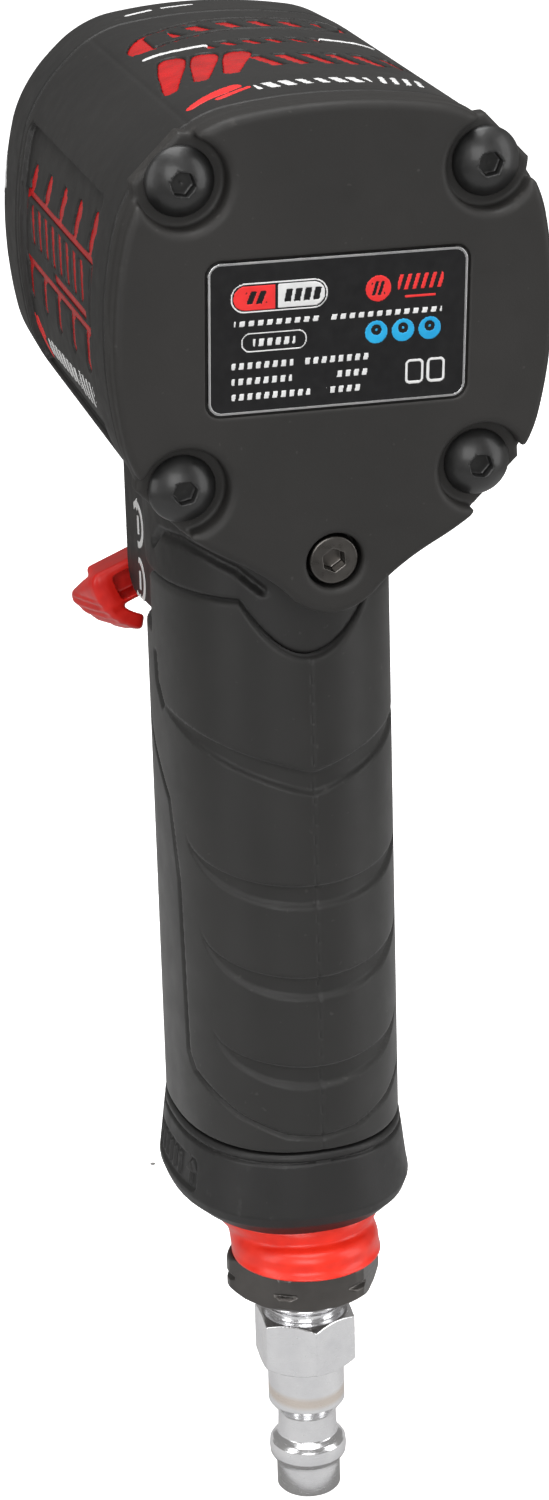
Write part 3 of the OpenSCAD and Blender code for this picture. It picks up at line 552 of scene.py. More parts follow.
SLOT_MATERIALS = {
    "forged_steel": FORGED, "bright_steel": STEEL, "dark_steel": DARK_STEEL, "black_screw": BLACK_SCREW,
    "gunmetal": GUNMETAL, "bronze": BRONZE, "motor_iron": IRON, "case_paint": CASE, "gasket": FIBRE,
    "vane_composite": VANE, "seal_rubber": SEAL, "housing_composite": HOUSING, "cover_composite": COVER,
    "plate_film": FILM, "grip_rubber": GRIP, "cap_plastic": CAP, "red_plastic": RED,
    "collar_plastic": COLLAR_RED, "muffler_felt": FELT, "nickel_plate": NICKEL}

for part in frame["record"]["subparts"]:
    node = frame["nodes"][part["node"]]
    node.data.materials.clear()
    node.data.materials.append(SLOT_MATERIALS[part["material_slot"]])


# Rear cover and screws ------------------------------------------------------------------------

def cover_shape(x, y, z):
    outline = cover2d(x, z)
    corner_flat = (np.abs(x) + np.abs(z)) / math.sqrt(2) - CUT
    bosses = joined(outline, shared(screw_distance(x, z) - 6.2, corner_flat - 0.6))
    foot = slab(bosses, y, COVER_Y0, SEAT_Y, 0.7)
    top = slab(smax(outline, POCKET_R - screw_distance(x, z), 1.2), y, COVER_Y0, FACE_Y, 1.1)
    d = smin(foot, top, 0.6)
    plate_recess = slab(rect(x, z, 0, 0, 18.1, 10.6, 2.1), y, PLATE_LOW[1], FACE_Y + 5, 0.1)
    chin_r = np.hypot(x, z - CHIN_Z)
    d = smax(np.maximum(d, -plate_recess), -slab(chin_r - 4, y, CHIN_SEAT_Y, FACE_Y + 5, 0.2), 0.9)
    return np.maximum(d, -joined(screw_distance(x, z) - 2.7, chin_r - 2.2))


def button_head_shape(x, y, z):
    """The four black screws: low domed heads with a rim and a hexagon socket."""
    u, v = np.abs(x) - SCREW_XZ, np.abs(z) - SCREW_XZ
    r = np.hypot(u, v)
    rise = 2.7
    sphere_r = (SCREW_HEAD_R ** 2 + (rise - 0.7) ** 2) / (2 * (rise - 0.7)) * 0.93
    dome = np.hypot(r, y - (SEAT_Y + rise - sphere_r)) - sphere_r
    head = smax(slab(r - SCREW_HEAD_R, y, SEAT_Y, SEAT_Y + rise + 0.3, 0.25), dome, 0.35)
    socket = slab(hexagon(u, v, SOCKET_AF, 10), y, SEAT_Y + rise - 1.7, SEAT_Y + 9, 0.05)
    countersink = (r - 1.9 + SEAT_Y + rise - y) / math.sqrt(2)
    head = np.maximum(head, -np.minimum(socket, countersink))
    shank = slab(r - 2.5, y, CASE_Y1 - 8.5, SEAT_Y + 0.3, 0.3)
    return np.minimum(head, shank)


def chin_screw_shape(x, y, z):
    v = z - CHIN_Z
    r = np.hypot(x, v)
    top = CHIN_SEAT_Y + 3.7
    head = slab(r - 3.5, y, CHIN_SEAT_Y, top, 0.4)
    socket = slab(hexagon(x, v, SOCKET_AF, 25), y, top - 2, top + 5, 0.05)
    head = np.maximum(head, -socket)
    return np.minimum(head, slab(r - 2, y, CHIN_SEAT_Y - 14, CHIN_SEAT_Y + 0.5, 0.3))


piece("cover", cover_shape, (-BODY_HALF, COVER_Y0, CHIN_Z - CHIN_R), (BODY_HALF, FACE_Y, BODY_TOP), 0.3,
      COVER, replaces=["rear_cover"], slot="cover_composite")
piece("button_screws", button_head_shape, (-26, CASE_Y1 - 9, -26), (26, SEAT_Y + 3, 26), 0.22,
      BLACK_SCREW, replaces=["cover_screws"], slot="black_screw")
piece("chin_cap_screw", chin_screw_shape, (-4, CHIN_SEAT_Y - 15, CHIN_Z - 4),
      (4, CHIN_SEAT_Y + 4, CHIN_Z + 4), 0.15, DARK_STEEL, replaces=["chin_screw"], slot="dark_steel")


# Body -----------------------------------------------------------------------------------------

SIDE_Y = HOUSING_Y0 + 24.1     # middle of the recesses on the flanks
SLOT_PITCH = 8.95
SLOTS = range(-2, 3)
PANEL_DEPTH = 0.9              # of the flanks' sunk panels below the body's outline
MARK_DEPTH = 0.8               # of the recesses below the surface around them
FILL_DEPTH = 0.25              # of the red inlays below that surface
PRINT_PROUD = 0.05
RIBBON_Y = HOUSING_Y0 + 30     # middle of the marks on the top


def dashes(u, v, u0, v0, half_u, half_v, pitch, fill, lean=0.0):
    """A row of slanted bars inside a rectangle."""
    bars = np.abs((u - u0 + lean * (v - v0) + 100 * pitch) % pitch - pitch / 2) - fill * pitch / 2
    return np.maximum(bars, rect(u, v, u0, v0, half_u, half_v, min(half_u, half_v) * 0.3))


def side_marks(y, z):
    """Two rows of slots and a framed panel of slanted bars, flat on the flank."""
    d = FAR
    for k in SLOTS:
        slot_y = SIDE_Y + SLOT_PITCH * k
        d = np.minimum(d, stroke(y, z, (slot_y - 0.8, 8.2), (slot_y + 0.3, 10.9 + 0.5 * k), 1.35))
        d = np.minimum(d, stroke(y, z, (slot_y - 1.8, -4.6), (slot_y - 2.8, -8.2 - 0.1 * k), 1.2))
    border = np.abs(rect(y, z, SIDE_Y - 1.2, 1.7, 20.7, 5.5, 1.2) + 0.6) - 0.6
    bars = dashes(y, z, SIDE_Y - 2, 2.6, 17, 2.7, 4.4, 0.56, 0.35)
    sill = rect(y, z, SIDE_Y + 6.5, -1.4, 10, 0.75, 0.4)
    return joined(d, border, bars, sill)


def top_marks(x, y):
    """A lozenge and rows of slanted bars on the top, plain stand-ins for the tool's own decoration."""
    bend = 0.022 * np.maximum(x, 0) ** 2
    v = y - RIBBON_Y - bend
    lozenge = rect(x, v, 0.3, -20.4, 16.6, 4.2, 4.1)
    ring = np.abs(lozenge + 0.45) - 0.45
    d = joined(ring, shared(lozenge, 13.4 - x), dashes(x, v, -1.5, -20.4, 11.5, 2.3, 4.6, 0.5, 0.4),
               dashes(x, y, -0.8, RIBBON_Y - 8.4, 8.2, 1.7, 3.3, 0.55, 0.5))
    claw_y = RIBBON_Y + 3
    half_width = np.clip(1.5 - 0.1 * (y - RIBBON_Y - 4), 0.5, 1.9)
    for k in range(3):
        x0 = 15.8 - 4.4 * k
        size = 6.8 - 0.9 * k
        claw = stroke(x, y, (x0 + 1.2, claw_y + size), (x0 - 2.4, claw_y - size), half_width)
        d = np.minimum(d, claw)
    return np.minimum(d, dashes(x, y, -6.8, RIBBON_Y + 3.9, 10.6, 3.6, 3.6, 0.55, 0.3))


def top_white(x, y):
    """Two thin lines and a row of small bars printed on the top."""
    return joined(stroke(x, y, (15.9, RIBBON_Y - 8.3), (7.6, RIBBON_Y - 8.6), 0.55),
                  stroke(x, y, (-9.6, RIBBON_Y - 9.2), (-16.4, RIBBON_Y - 8.2), 0.55),
                  dashes(x, y, 0, RIBBON_Y + 18.2, 7.9, 1.5, 2.3, 0.62, 0.25),
                  dashes(x, y, -12.2, RIBBON_Y + 17.8, 3.6, 2.1, 1.7, 0.5, -0.15))


def top_slash(x, y):
    """A pair of tapering strokes printed beside the small bars."""
    taper = np.clip(1.2 - 0.09 * np.abs(x - 12), 0.35, 1.2)
    return np.minimum(stroke(x, y, (17, RIBBON_Y + 20), (10, RIBBON_Y + 16.2), taper),
                      stroke(x, y, (13.4, RIBBON_Y + 20.4), (8.6, RIBBON_Y + 17.6), 0.5 * taper))


def side_white(y, z):
    """A row of small bars printed low on the flank."""
    v = z + 14.2 - 0.04 * (y - SIDE_Y)
    d = dashes(y, v, SIDE_Y - 6, 0, 9.5, 1.3, 2.5, 0.62, 0.25)
    return np.minimum(d, dashes(y, v, SIDE_Y + 9.5, 0, 5, 1.8, 2.1, 0.45, 0.1))


def side_slash(y, z):
    """A pair of short strokes printed in front of that row."""
    return np.minimum(stroke(y, z, (SIDE_Y - 23.4, -11.8), (SIDE_Y - 17.5, -16.6), 0.85),
                      stroke(y, z, (SIDE_Y - 20.4, -12.2), (SIDE_Y - 17.8, -14), 0.6))


# A groove around the neck: degrees from the back and height
NECK_SLOT = ((90, -40.5), (81, -38.2), (62, -37.9), (48, -39), (34, -40.6), (22, -43.6))


def neck_shape(x, yl, zl):
    """The housing's neck, which ends in a ledge around the top of the rubber."""
    angle = grip_angle(x, yl)
    dip = ledge_dip(angle)
    ledge = -45 - LEDGE_DIP * dip
    d = oval(x, yl, GRIP_A - 0.15 - 0.9 * dip, GRIP_B - 0.15 - 0.9 * dip)
    d = d + groove(angle * MM_PER_DEG, zl, NECK_SLOT, 1.0, 1.1)
    return smax(smax(d, (ledge - zl) * 0.85, 0.5), zl + 12, 1)


def block_shape(x, yl, zl):
    """The block that carries the trigger and the reverse lever."""
    section = rect(yl, zl, -12.8, -30, 14, 24, 5)
    return slab(section, x, -14.6, 14.6, 0.8)


def housing_shape(x, y, z):
    yl, zl = to_grip(y, z)
    section = body2d(x, z)
    barrel = slab(section, y, HOUSING_Y0, HOUSING_Y1, 0.4)
    panel = rect(y, z, HOUSING_Y0 + 24.3, -1.2, 22.6, 17.6, 1.5)
    barrel = smax(barrel, -np.maximum(-section - PANEL_DEPTH, panel), 0.2)
    chin = slab(smax(chin2d(x, z) + 0.35, -z - 60, 1), y, GRIP_Y + 22, HOUSING_Y1, 0.4)
    neck = neck_shape(x, yl, zl)
    core = shared(oval(x, yl, GRIP_A - 2.2, GRIP_B - 2.2), np.abs(zl + 80) - 49.5)
    lower = joined(smin(neck, chin, 2.5), core)
    # the block stays behind the housing's front face, beside the case, and may pass it further down
    front_face = -(y - HOUSING_Y0 - 0.3) - np.maximum(0, -z - BODY_TOP - 0.5) * 4
    lower = smin(lower, shared(block_shape(x, yl, zl), front_face), 1.2)
    d = np.maximum(smin(barrel, lower, 2.2), y - HOUSING_Y1)
    side_cut = shared(side_marks(y, z), -(section + PANEL_DEPTH + MARK_DEPTH), SURFACE - np.abs(x))
    top_cut = shared(top_marks(x, y), -(section + MARK_DEPTH), SURFACE - z)
    d = shared(d, -side_cut, -top_cut)
    parting = np.hypot(np.abs(x) - 18.6, np.maximum(section, -9)) - 0.18
    d = smax(d, -np.where(z > SURFACE, parting, FAR), 0.1)
    cage_bore = shared(np.hypot(x, z) - CAGE_BORE_R, y - HOUSING_Y0 - 13.6)
    motor_bore = shared(np.hypot(x, z) - MOTOR_BORE_R, HOUSING_Y0 + 16 - y)
    valve_bore = shared(np.hypot(x, zl - VALVE_Z) - 6.02, yl - 19)
    return shared(d, -cage_bore, -motor_bore, -valve_bore)


def case_shape(x, y, z):
    """The hammer case: full size at the joint, then drawn in to a round nose."""
    t = np.clip((CASE_Y1 - 9.5 - y) / (CASE_Y1 - 9.5 - NOSE_Y - 2), 0, 1)
    shrink = 1 - 0.012 * np.clip((CASE_Y1 - y) / 10, 0, 1) - 0.36 * t ** 1.35
    square = body2d(x / shrink, z / shrink) * shrink
    round_part = np.hypot(x, z) - 30.8 * (1 - 0.42 * t ** 1.3)
    side = square * (1 - t) + round_part * t
    d = smax(side * 0.9, NOSE_Y + 2.5 - y, 3)
    d = smax(d, y - CASE_Y1, 0.5)
    nose = slab(np.hypot(x, z) - 16.4, y, NOSE_Y, NOSE_Y + 8, 0.8)
    d = smin(d, nose, 1.5)
    r = np.hypot(x, z)
    bore = joined(r - 9.9, shared(r - 12.1, NOSE_Y + 1.5 - y), shared(r - CAGE_BORE_R, NOSE_Y + 12.8 - y))
    return np.maximum(d, -bore)


def layer(marks, depth):
    """A layer that fills marks up to depth below the body's surface; less than zero stands proud."""
    def shape(x, y, z):
        section = body2d(x, z)
        return shared(section + depth, -1.4 - depth - section, marks(x, y, z))
    return shape


def on_flank(marks, side):
    return lambda x, y, z: np.maximum(marks(y, z), SURFACE - side * x)


def on_top(marks):
    return lambda x, y, z: np.maximum(marks(x, y), SURFACE - z)


piece("housing", housing_shape, (-BODY_HALF, 43, -131), (BODY_HALF, HOUSING_Y1 + 1, BODY_TOP), 0.42,
      HOUSING, replaces=["motor_housing"], slot="housing_composite")
piece("nose_case", case_shape, (-BODY_HALF, NOSE_Y, -BODY_TOP), (BODY_HALF, CASE_Y1, BODY_TOP), 0.5,
      CASE, replaces=["hammer_case"], slot="case_paint")


def gasket_shape(x, y, z):
    """The case's and the cover's gaskets, a little inside the outline so that the joints read dark."""
    inset, half_thickness = 0.45, 0.2
    r = np.hypot(x, z)
    case_joint = shared(body2d(x, z) + inset, np.abs(y - (CASE_Y1 + HOUSING_Y0) / 2) - half_thickness,
                        CAGE_BORE_R - r)
    cover_joint = shared(cover2d(x, z) + inset, np.abs(y - (HOUSING_Y1 + COVER_Y0) / 2) - half_thickness,
                         MOTOR_BORE_R - r)
    return np.minimum(case_joint, cover_joint)


piece("gaskets", gasket_shape, (-BODY_HALF, CASE_Y1, CHIN_Z - CHIN_R), (BODY_HALF, COVER_Y0, BODY_TOP), 0.3,
      FIBRE, replaces=["case_gasket", "cover_gasket"], slot="gasket")
for side, flank in ((1, "left"), (-1, "right")):
    x_range = sorted((side * 22, side * BODY_HALF))
    low, high = (x_range[0], SIDE_Y - 24, -19.8), (x_range[1], SIDE_Y + 24, 16)
    piece("inlay_" + flank, layer(on_flank(side_marks, side), PANEL_DEPTH + FILL_DEPTH), low, high, 0.3,
          INLAY_RED, slot="red_plastic")
    piece("print_white_" + flank, layer(on_flank(side_white, side), PANEL_DEPTH - PRINT_PROUD), low, high,
          0.25, PRINT_WHITE)
    piece("print_red_" + flank, layer(on_flank(side_slash, side), PANEL_DEPTH - PRINT_PROUD), low, high,
          0.25, PRINT_RED)
low, high = (-21, HOUSING_Y0 + 1, 25), (21, HOUSING_Y1 - 1, BODY_TOP)
piece("inlay_top", layer(on_top(top_marks), FILL_DEPTH), low, high, 0.3, INLAY_RED, slot="red_plastic")
piece("print_white_top", layer(on_top(top_white), -PRINT_PROUD), low, high, 0.25, PRINT_WHITE)
piece("print_red_top", layer(on_top(top_slash), -PRINT_PROUD), low, high, 0.25, PRINT_RED)


def turn_marks(yl, zl):
    """Two open rings with arrow heads beside the reverse lever, one for each way of turning."""
    ring_r = 3.1
    d = FAR
    for mid_z, way in ((-42.3, 1), (-50.9, -1)):
        u, v = yl + 18.4, (zl - mid_z) * way
        ring = shared(np.abs(np.hypot(u, v) - ring_r) - 0.52, -(u + 1.2 + 0.3 * v))
        arrow = shared(np.abs(v - ring_r) - (u + 1.6) * 0.6, u - 0.2)
        d = joined(d, ring, rect(u, v, 0.4, 0, 0.5, 1.5, 0.2), arrow)
    return d


def block_print(x, yl, zl):
    """Those rings on both sides of the block, just proud of it."""
    return shared(turn_marks(yl, zl), -53.7 - zl, np.abs(np.abs(x) - 14.34) - 0.32)


def case_marks(x, y, z):
    """Short strokes near the front of the case."""
    flank = np.minimum(stroke(y, z, (37.5, 9.5), (38.6, 4.5), 0.5), stroke(y, z, (36, 8.5), (37, 3.5), 0.5))
    crown = np.minimum(stroke(x, y, (12, 43), (8.5, 42.2), 0.45), stroke(x, y, (6.5, 41.8), (2, 41.5), 0.35))
    marks = joined(shared(flank, SURFACE - x), shared(crown, SURFACE - z))
    return np.maximum(marks, np.abs(case_shape(x, y, z) + 0.25) - 0.29)


grip_piece("block_print", block_print, (-14.7, -23, -54), (14.7, -13, -36), 0.2, PRINT_WHITE)
piece("case_print", case_marks, (-13, 34, 2), (BODY_HALF, 45, BODY_TOP), 0.25, PRINT_WHITE)


# Rating plate ---------------------------------------------------------------------------------

PLATE_FACE = PLATE_HIGH[1]
PLATE_W2 = PLATE_HIGH[0]
PLATE_H2 = (PLATE_HIGH[2] - PLATE_LOW[2]) / 2


def lines_of_print(x, z):
    """Rows of short bars in the places of printed lines."""
    d = dashes(x, z, 0, 2.0, 14.3, 0.42, 1.25, 0.66, 0.2)
    d = np.maximum(d, -rect(x, z, 1.7, 2.0, 0.6, 1, 0.1))
    for row_z, start, end in ((-3.7, 14.6, 6.1), (-3.7, 4.6, -4.2), (-5.8, 14.6, 6.3), (-5.8, 0.3, -4.2),
                              (-7.9, 14.6, 3.8), (-7.9, 1.6, -3.6)):
        d = np.minimum(d, dashes(x, z, (start + end) / 2, row_z, (start - end) / 2, 0.5, 1.15, 0.64, 0.15))
    return np.minimum(d, dashes(x, z, 8.8, -0.6, 2.9, 0.55, 1.15, 0.66, 0.15))


def plate_badge(x, z):
    return rect(x, z, 8.1, 5.4, 6.6, 2.0, 1.95)


def plate_white(x, z):
    """The badge's border and one of its halves, an oval and two tags in outline, and the rows of bars."""
    badge = plate_badge(x, z)
    field = np.maximum(badge + 0.35, x - 8.3)
    field = np.maximum(field, -dashes(x, z, 4.9, 5.4, 2.6, 0.8, 1.3, 0.6, 0.2))
    d = np.minimum(np.abs(badge + 0.12) - 0.14, field)
    d = np.minimum(d, np.abs(rect(x, z, 8.8, -0.6, 4.5, 1.35, 1.3) + 0.12) - 0.13)
    tags = [np.abs(rect(x, z, tag_x, -6.3, 1.1, 1.5, 0.5)) - 0.22 for tag_x in (-10.6, -13.6)]
    return joined(d, *tags, lines_of_print(x, z))


def plate_red(x, z):
    """The badge's other half, a disc, and a row of bars over a thin line."""
    badge = np.maximum(plate_badge(x, z) + 0.35, 8.6 - x)
    badge = np.maximum(badge, -dashes(x, z, 11.2, 5.4, 1.4, 0.8, 1.3, 0.55, 0.4))
    disc = np.maximum(np.hypot(x + 5.4, z - 5.4) - 1.8, -dashes(x, z, -5.4, 5.4, 0.9, 0.9, 0.8, 0.45, 0.3))
    bars = dashes(x, z, -11.2, 6.0, 3.2, 1.1, 1.15, 0.55, 0.3)
    return joined(badge, disc, bars, rect(x, z, -11.2, 4.0, 2.2, 0.2, 0.1))


def plate_blue(x, z):
    """Three discs, each with a small ring left open."""
    d = FAR
    for k in range(3):
        dot_x = -5.2 - 3.7 * k
        dot = np.hypot(x - dot_x, z + 0.5) - 1.6
        d = np.minimum(d, np.maximum(dot, 0.22 - np.abs(np.hypot(x - dot_x, z + 0.2) - 0.45)))
    return d


def plate_border(x, z):
    return np.abs(rect(x, z, 0, 0, PLATE_W2, PLATE_H2, 1.8) + 0.2) - 0.2


def on_plate(marks, proud):
    """A thin layer on the plate, standing proud of its film."""
    mid_z = (PLATE_HIGH[2] + PLATE_LOW[2]) / 2
    half = 0.3
    return lambda x, y, z: np.maximum(marks(x, z - mid_z), np.abs(y - PLATE_FACE - proud + half) - half)


for name, marks, proud, material in (
        ("plate_print_white", plate_white, 0.02, PRINT_WHITE),
        ("plate_print_red", plate_red, 0.02, PRINT_RED),
        ("plate_print_blue", plate_blue, 0.02, PRINT_BLUE),
        ("plate_edge", plate_border, 0.03, SILVER)):
    piece(name, on_plate(marks, proud), (-PLATE_W2, PLATE_FACE - 0.7, PLATE_LOW[2]),
          (PLATE_W2, PLATE_FACE + 0.1, PLATE_HIGH[2]), 0.14, material)


# Grip -----------------------------------------------------------------------------------------

# The three U-shaped channels across the back of the grip: place at the back, rise and half width in degrees
CHANNELS = ((-91.2, 10.4, 67), (-105.4, 10.7, 59), (-119.4, 9.5, 54))
CHANNEL_DEPTH = 0.8
WIDE_CHANNEL_DEG = 84          # half width of the fourth and highest, a shallow V
# Fine grooves: degrees from the back and height
OUTLINE = ((112, -66), (98, -72.5), (80, -78.5), (73, -90), (70.5, -117), (66, -119.5), (40, -124),
           (18, -126.6), (-1, -127.3))
HOOK = ((92, -57.5), (90.5, -61.5), (84, -64.2))


def grip_shape(x, yl, zl):
    angle = grip_angle(x, yl)
    arc = angle * MM_PER_DEG
    sunk = groove(arc, zl, OUTLINE, 0.5, 0.6) + groove(arc, zl, HOOK, 0.9, 0.9)
    sunk = sunk + 0.22 * np.maximum(1 - np.abs(x) / 0.28, 0) * (yl > 0)
    for z0, rise, width in CHANNELS:
        t = np.clip(angle / width, 0, 1)
        low = z0 + rise * (1 - np.sqrt(1 - t * t))
        height = 3.5 * (1 - t ** 3) + 0.2
        across = np.clip((zl - low) / height, 0, 1)
        sunk = sunk + CHANNEL_DEPTH * (1 - t ** 4) * plateau(across)
    t = np.clip(angle / WIDE_CHANNEL_DEG, 0, 1)
    low = -74.2 + 10.2 * t ** 1.15
    height = 3.6 * (1 - t ** 2) + 0.3
    across = np.clip((zl - low) / height, 0, 1)
    sunk = sunk + CHANNEL_DEPTH * (1 - t ** 3) * plateau(across) * (angle < WIDE_CHANNEL_DEG)
    outer = oval(x, yl, GRIP_A, GRIP_B) + sunk
    ledge = -45.3 - LEDGE_DIP * ledge_dip(angle)
    d = smax(outer, (zl - ledge) * 0.85, 0.9)
    d = smax(d, GRIP_END - zl, 0.8)
    d = np.maximum(d, -oval(x, yl, GRIP_A - 2.25, GRIP_B - 2.25))
    block = shared(np.abs(x) - 20, yl + 2.4, -54.4 - zl)
    return np.maximum(d, -block)


def cap_shape(x, yl, zl):
    """The base cap, with a sunk panel of ribs and an arrow on each side."""
    down = CAP_Z0 - zl
    stations = (0, 10.2, 11.8, 14.2)
    wide = np.interp(down, stations, (0.1, 1.5, 0.9, -1.8)).astype(np.float32)
    deep = np.interp(down, stations, (0.0, 0.4, -0.2, -2.4)).astype(np.float32)
    d = oval(x, yl, GRIP_A + wide, GRIP_B + deep)
    d = d + 0.6 * np.maximum(1 - np.abs(down - 1.4) / 0.4, 0)
    arc = grip_angle(x, yl) * MM_PER_DEG
    mid = 6.8
    panel = rect(arc, down, 88 * MM_PER_DEG, mid, 8.2, 2.7, 1.0)
    rib_field = rect(arc, down, 92 * MM_PER_DEG, mid, 5.6, 1.9, 0.2)
    ribs = shared(np.abs((arc + 300) % 1.9 - 0.95) - 0.42, rib_field)
    arrow_arc, arrow_tip = 24.2, 4.6
    arrow = joined(stroke(arc, down, (arrow_arc, mid), (arrow_arc, 8.6), 0.35),
                   shared(np.abs(arc - arrow_arc) - (down - arrow_tip) * 0.7, down - mid))
    raised = joined(ribs, shared(arrow, arrow_tip - down))
    d = d + 0.5 * np.clip(-panel / 0.3, 0, 1) - 0.45 * np.clip(-raised / 0.25, 0, 1)
    d = smax(smax(d, zl - CAP_Z0, 0.7), CAP_Z1 - zl, 0.8)
    cavity = shared(oval(x, yl, 13.2, 19), CAP_Z1 + 2 - zl, zl - CAP_Z0 - 2)
    hole = np.hypot(x, yl - INLET_Y) - INLET_R
    return shared(d, -cavity, -hole)


def collar_shape(x, yl, zl):
    """The exhaust collar: the cap's outline, drawn in to a round lip around the inlet."""
    down = np.clip((CAP_Z1 - 0.3 - zl) / 6.2, 0, 1)
    top = oval(x, yl, GRIP_A - 2.4 - 3 * down, GRIP_B - 2.8 - 4 * down)
    ring = np.hypot(x, yl - INLET_Y - 2.2) - 11.5
    cone = top * (1 - down ** 0.8) + ring * down ** 0.8
    rear = np.clip((yl - INLET_Y + 9) / 16, 0, 1)
    waist = 0.6 * rear * np.exp(-((zl - LIP_Z - 3.6) / 1.25) ** 2)
    d = smax(smax(cone + waist, zl - CAP_Z1 - 0.2, 0.5), LIP_Z - zl, 0.5)
    lip = slab(np.hypot(x, yl - INLET_Y - 1.7) - 11.1, zl, LIP_Z, LIP_Z + 4.2, 2.0)
    d = smin(d, lip, 0.8)
    hole = np.hypot(x, yl - INLET_Y) - INLET_R
    slot = rect(x, yl, 0, -9, 8.5, 4, 3.9)
    return shared(d, -hole, -slot)


# Air inlet ------------------------------------------------------------------------------------

def bushing_shape(x, yl, zl):
    """A chamfered hexagon, with a nick across each corner."""
    y = yl - INLET_Y
    r = np.hypot(x, y)
    hexa = slab(hexagon(x, y, 21.5, 0), zl, HEX_Z1, HEX_Z0, 0.15)
    d = smax(hexa, slab(r - 11.95, zl, HEX_Z1, HEX_Z0, 1.0), 0.1)
    bevel = (r - 11.5 + (HEX_Z1 + 0.6 - zl) * 1.2) / 1.55
    d = np.maximum(d, bevel)
    turn = (np.degrees(np.arctan2(y, x)) + 390) % 60 - 30
    nick = np.abs(zl - (HEX_Z0 + HEX_Z1) / 2 + 0.2) - 0.55 * np.clip((r - 11.2) / 0.7, 0, 1)
    d = np.maximum(d, -shared(nick, np.abs(turn) - 9, 11.2 - r))
    d = np.minimum(d, slab(r - 8.4, zl, HEX_Z0 - 0.5, -112.5, 0.4))
    bore = np.maximum(r - 6.42, zl - HEX_Z1 - 11)
    return shared(d, -bore, -(r - 4.6))


def nipple_shape(x, yl, zl):
    """Thread, hexagon and turned plug, from the top down."""
    y = yl - INLET_Y
    r = np.hypot(x, y)
    thread = r - 6.25 - 0.16 * np.cos(2 * math.pi * (zl / 1.34))
    thread_z1 = HEX_Z1 + THREAD_L
    thread = np.maximum(thread, np.abs(zl - (thread_z1 + NIPPLE_Z0) / 2) - (thread_z1 - NIPPLE_Z0) / 2)
    neck = slab(r - 5.7, zl, NIPPLE_Z0 - 1, NIPPLE_Z0 + 1.4, 0.2)
    thread = np.maximum(thread, np.minimum(neck, NIPPLE_Z0 + 1.2 - zl))
    hexa = slab(hexagon(x, y, 14, 27), zl, NIPPLE_Z1, NIPPLE_Z0, 0.12)
    for below in (NIPPLE_Z0 - zl, zl - NIPPLE_Z1):
        hexa = np.maximum(hexa, (r - 6.75 - below * 1.75) / 2.0)
    shoulder_z = NIPPLE_Z1 - 6.8
    stations = (TIP_Z, TIP_Z + 0.4, BEAD_Z - 2.6, BEAD_Z - 2.0, BEAD_Z - 1.7, BEAD_Z - 1.1, BEAD_Z,
                BEAD_Z + 1.1, BEAD_Z + 1.7, BEAD_Z + 2.3, shoulder_z - 2.2, shoulder_z - 1.6, shoulder_z,
                NIPPLE_Z1 + 1)
    radii = (4.55, 4.93, 4.93, 5.0, 5.5, 5.88, 6.0, 5.88, 5.45, 4.62, 4.5, 4.75, 5.93, 5.93)
    turned = (r - np.interp(zl, stations, radii).astype(np.float32)) * 0.75
    turned = shared(turned, TIP_Z - zl, zl - NIPPLE_Z1 - 1)
    return np.maximum(joined(thread, hexa, turned), -(r - 2.75))


# Reverse lever and trigger --------------------------------------------------------------------

def lever_shape(x, yl, zl):
    """A hub with two arms behind the trigger, each ending in a flared and ribbed thumb piece."""
    v = zl - VALVE_Z
    c, s = math.cos(LEVER_REST), math.sin(LEVER_REST)
    u = np.abs(x * c - v * s)
    w = x * s + v * c
    hub = slab(np.hypot(u, w) - 7, yl, -33.5, LEVER_Y1, 0.6)
    arm = slab(rect(u, w, 11.5, 0, 8.5, 3.2, 0.8), yl, -33.5, LEVER_Y1, 0.7)
    arm = np.maximum(arm, -slab(rect(u, w, 12.6, -0.3, 5, 2.1, 0.8), yl, -31.4, -26, 0.3))
    du, dw = u - 11.4, w + 0.2
    r = np.hypot(du, dw)
    turn = np.degrees(np.arctan2(dw, du))
    along = np.clip((LEVER_Y1 - yl) / 14.2, 0, 1)
    rib_turn = turn + 26
    window = np.clip((24 - np.abs(rib_turn)) / 5, 0, 1) * np.clip(np.minimum(along, 1 - along) * 5, 0, 1)
    flare = 9.4 + 2.9 * along ** 0.8
    ring = np.maximum(r - flare - 0.25 * window * np.cos(2 * math.pi * rib_turn / 10), flare - 2.5 - r)
    ends = np.maximum(turn - 20, -57 - turn) * r * math.pi / 180
    fall = 3.4 - 0.42 * np.clip(-29 - yl, 0, 20)
    pad = smax(slab(smax(ring, ends, 0.8), yl, -41.5, LEVER_Y1, 0.7), (w - fall) * 0.9, 2)
    d = smin(smin(hub, arm, 1.2), pad, 1.0)
    axis_r = np.hypot(x, v)
    return np.maximum(d, -joined(axis_r - 2.5, shared(axis_r - 4.72, -30.1 - yl)))


def trigger_shape(x, yl, zl):
    """A curved blade with a boss on the valve's stem, bored for the stem and the pin."""
    v = zl - VALVE_Z
    mid = v + 5.5
    bent = np.abs(np.hypot(yl + 20.3, mid) - 24.4) - 1.6
    blade = slab(smax(smax(bent, np.abs(mid) - 12.3, 1.5), yl + 36, 1), x, -6.8, 6.8, 1.2)
    boss = slab(np.hypot(x, v) - 4.2, yl, -45.5, -40, 0.3)
    d = smin(blade, boss, 0.8)
    stem = shared(np.hypot(x, v) - 2.22, -44 - yl)
    pin = shared(np.hypot(yl + 41.5, v) - 0.77, np.abs(x) - 5)
    return shared(d, -stem, -pin)


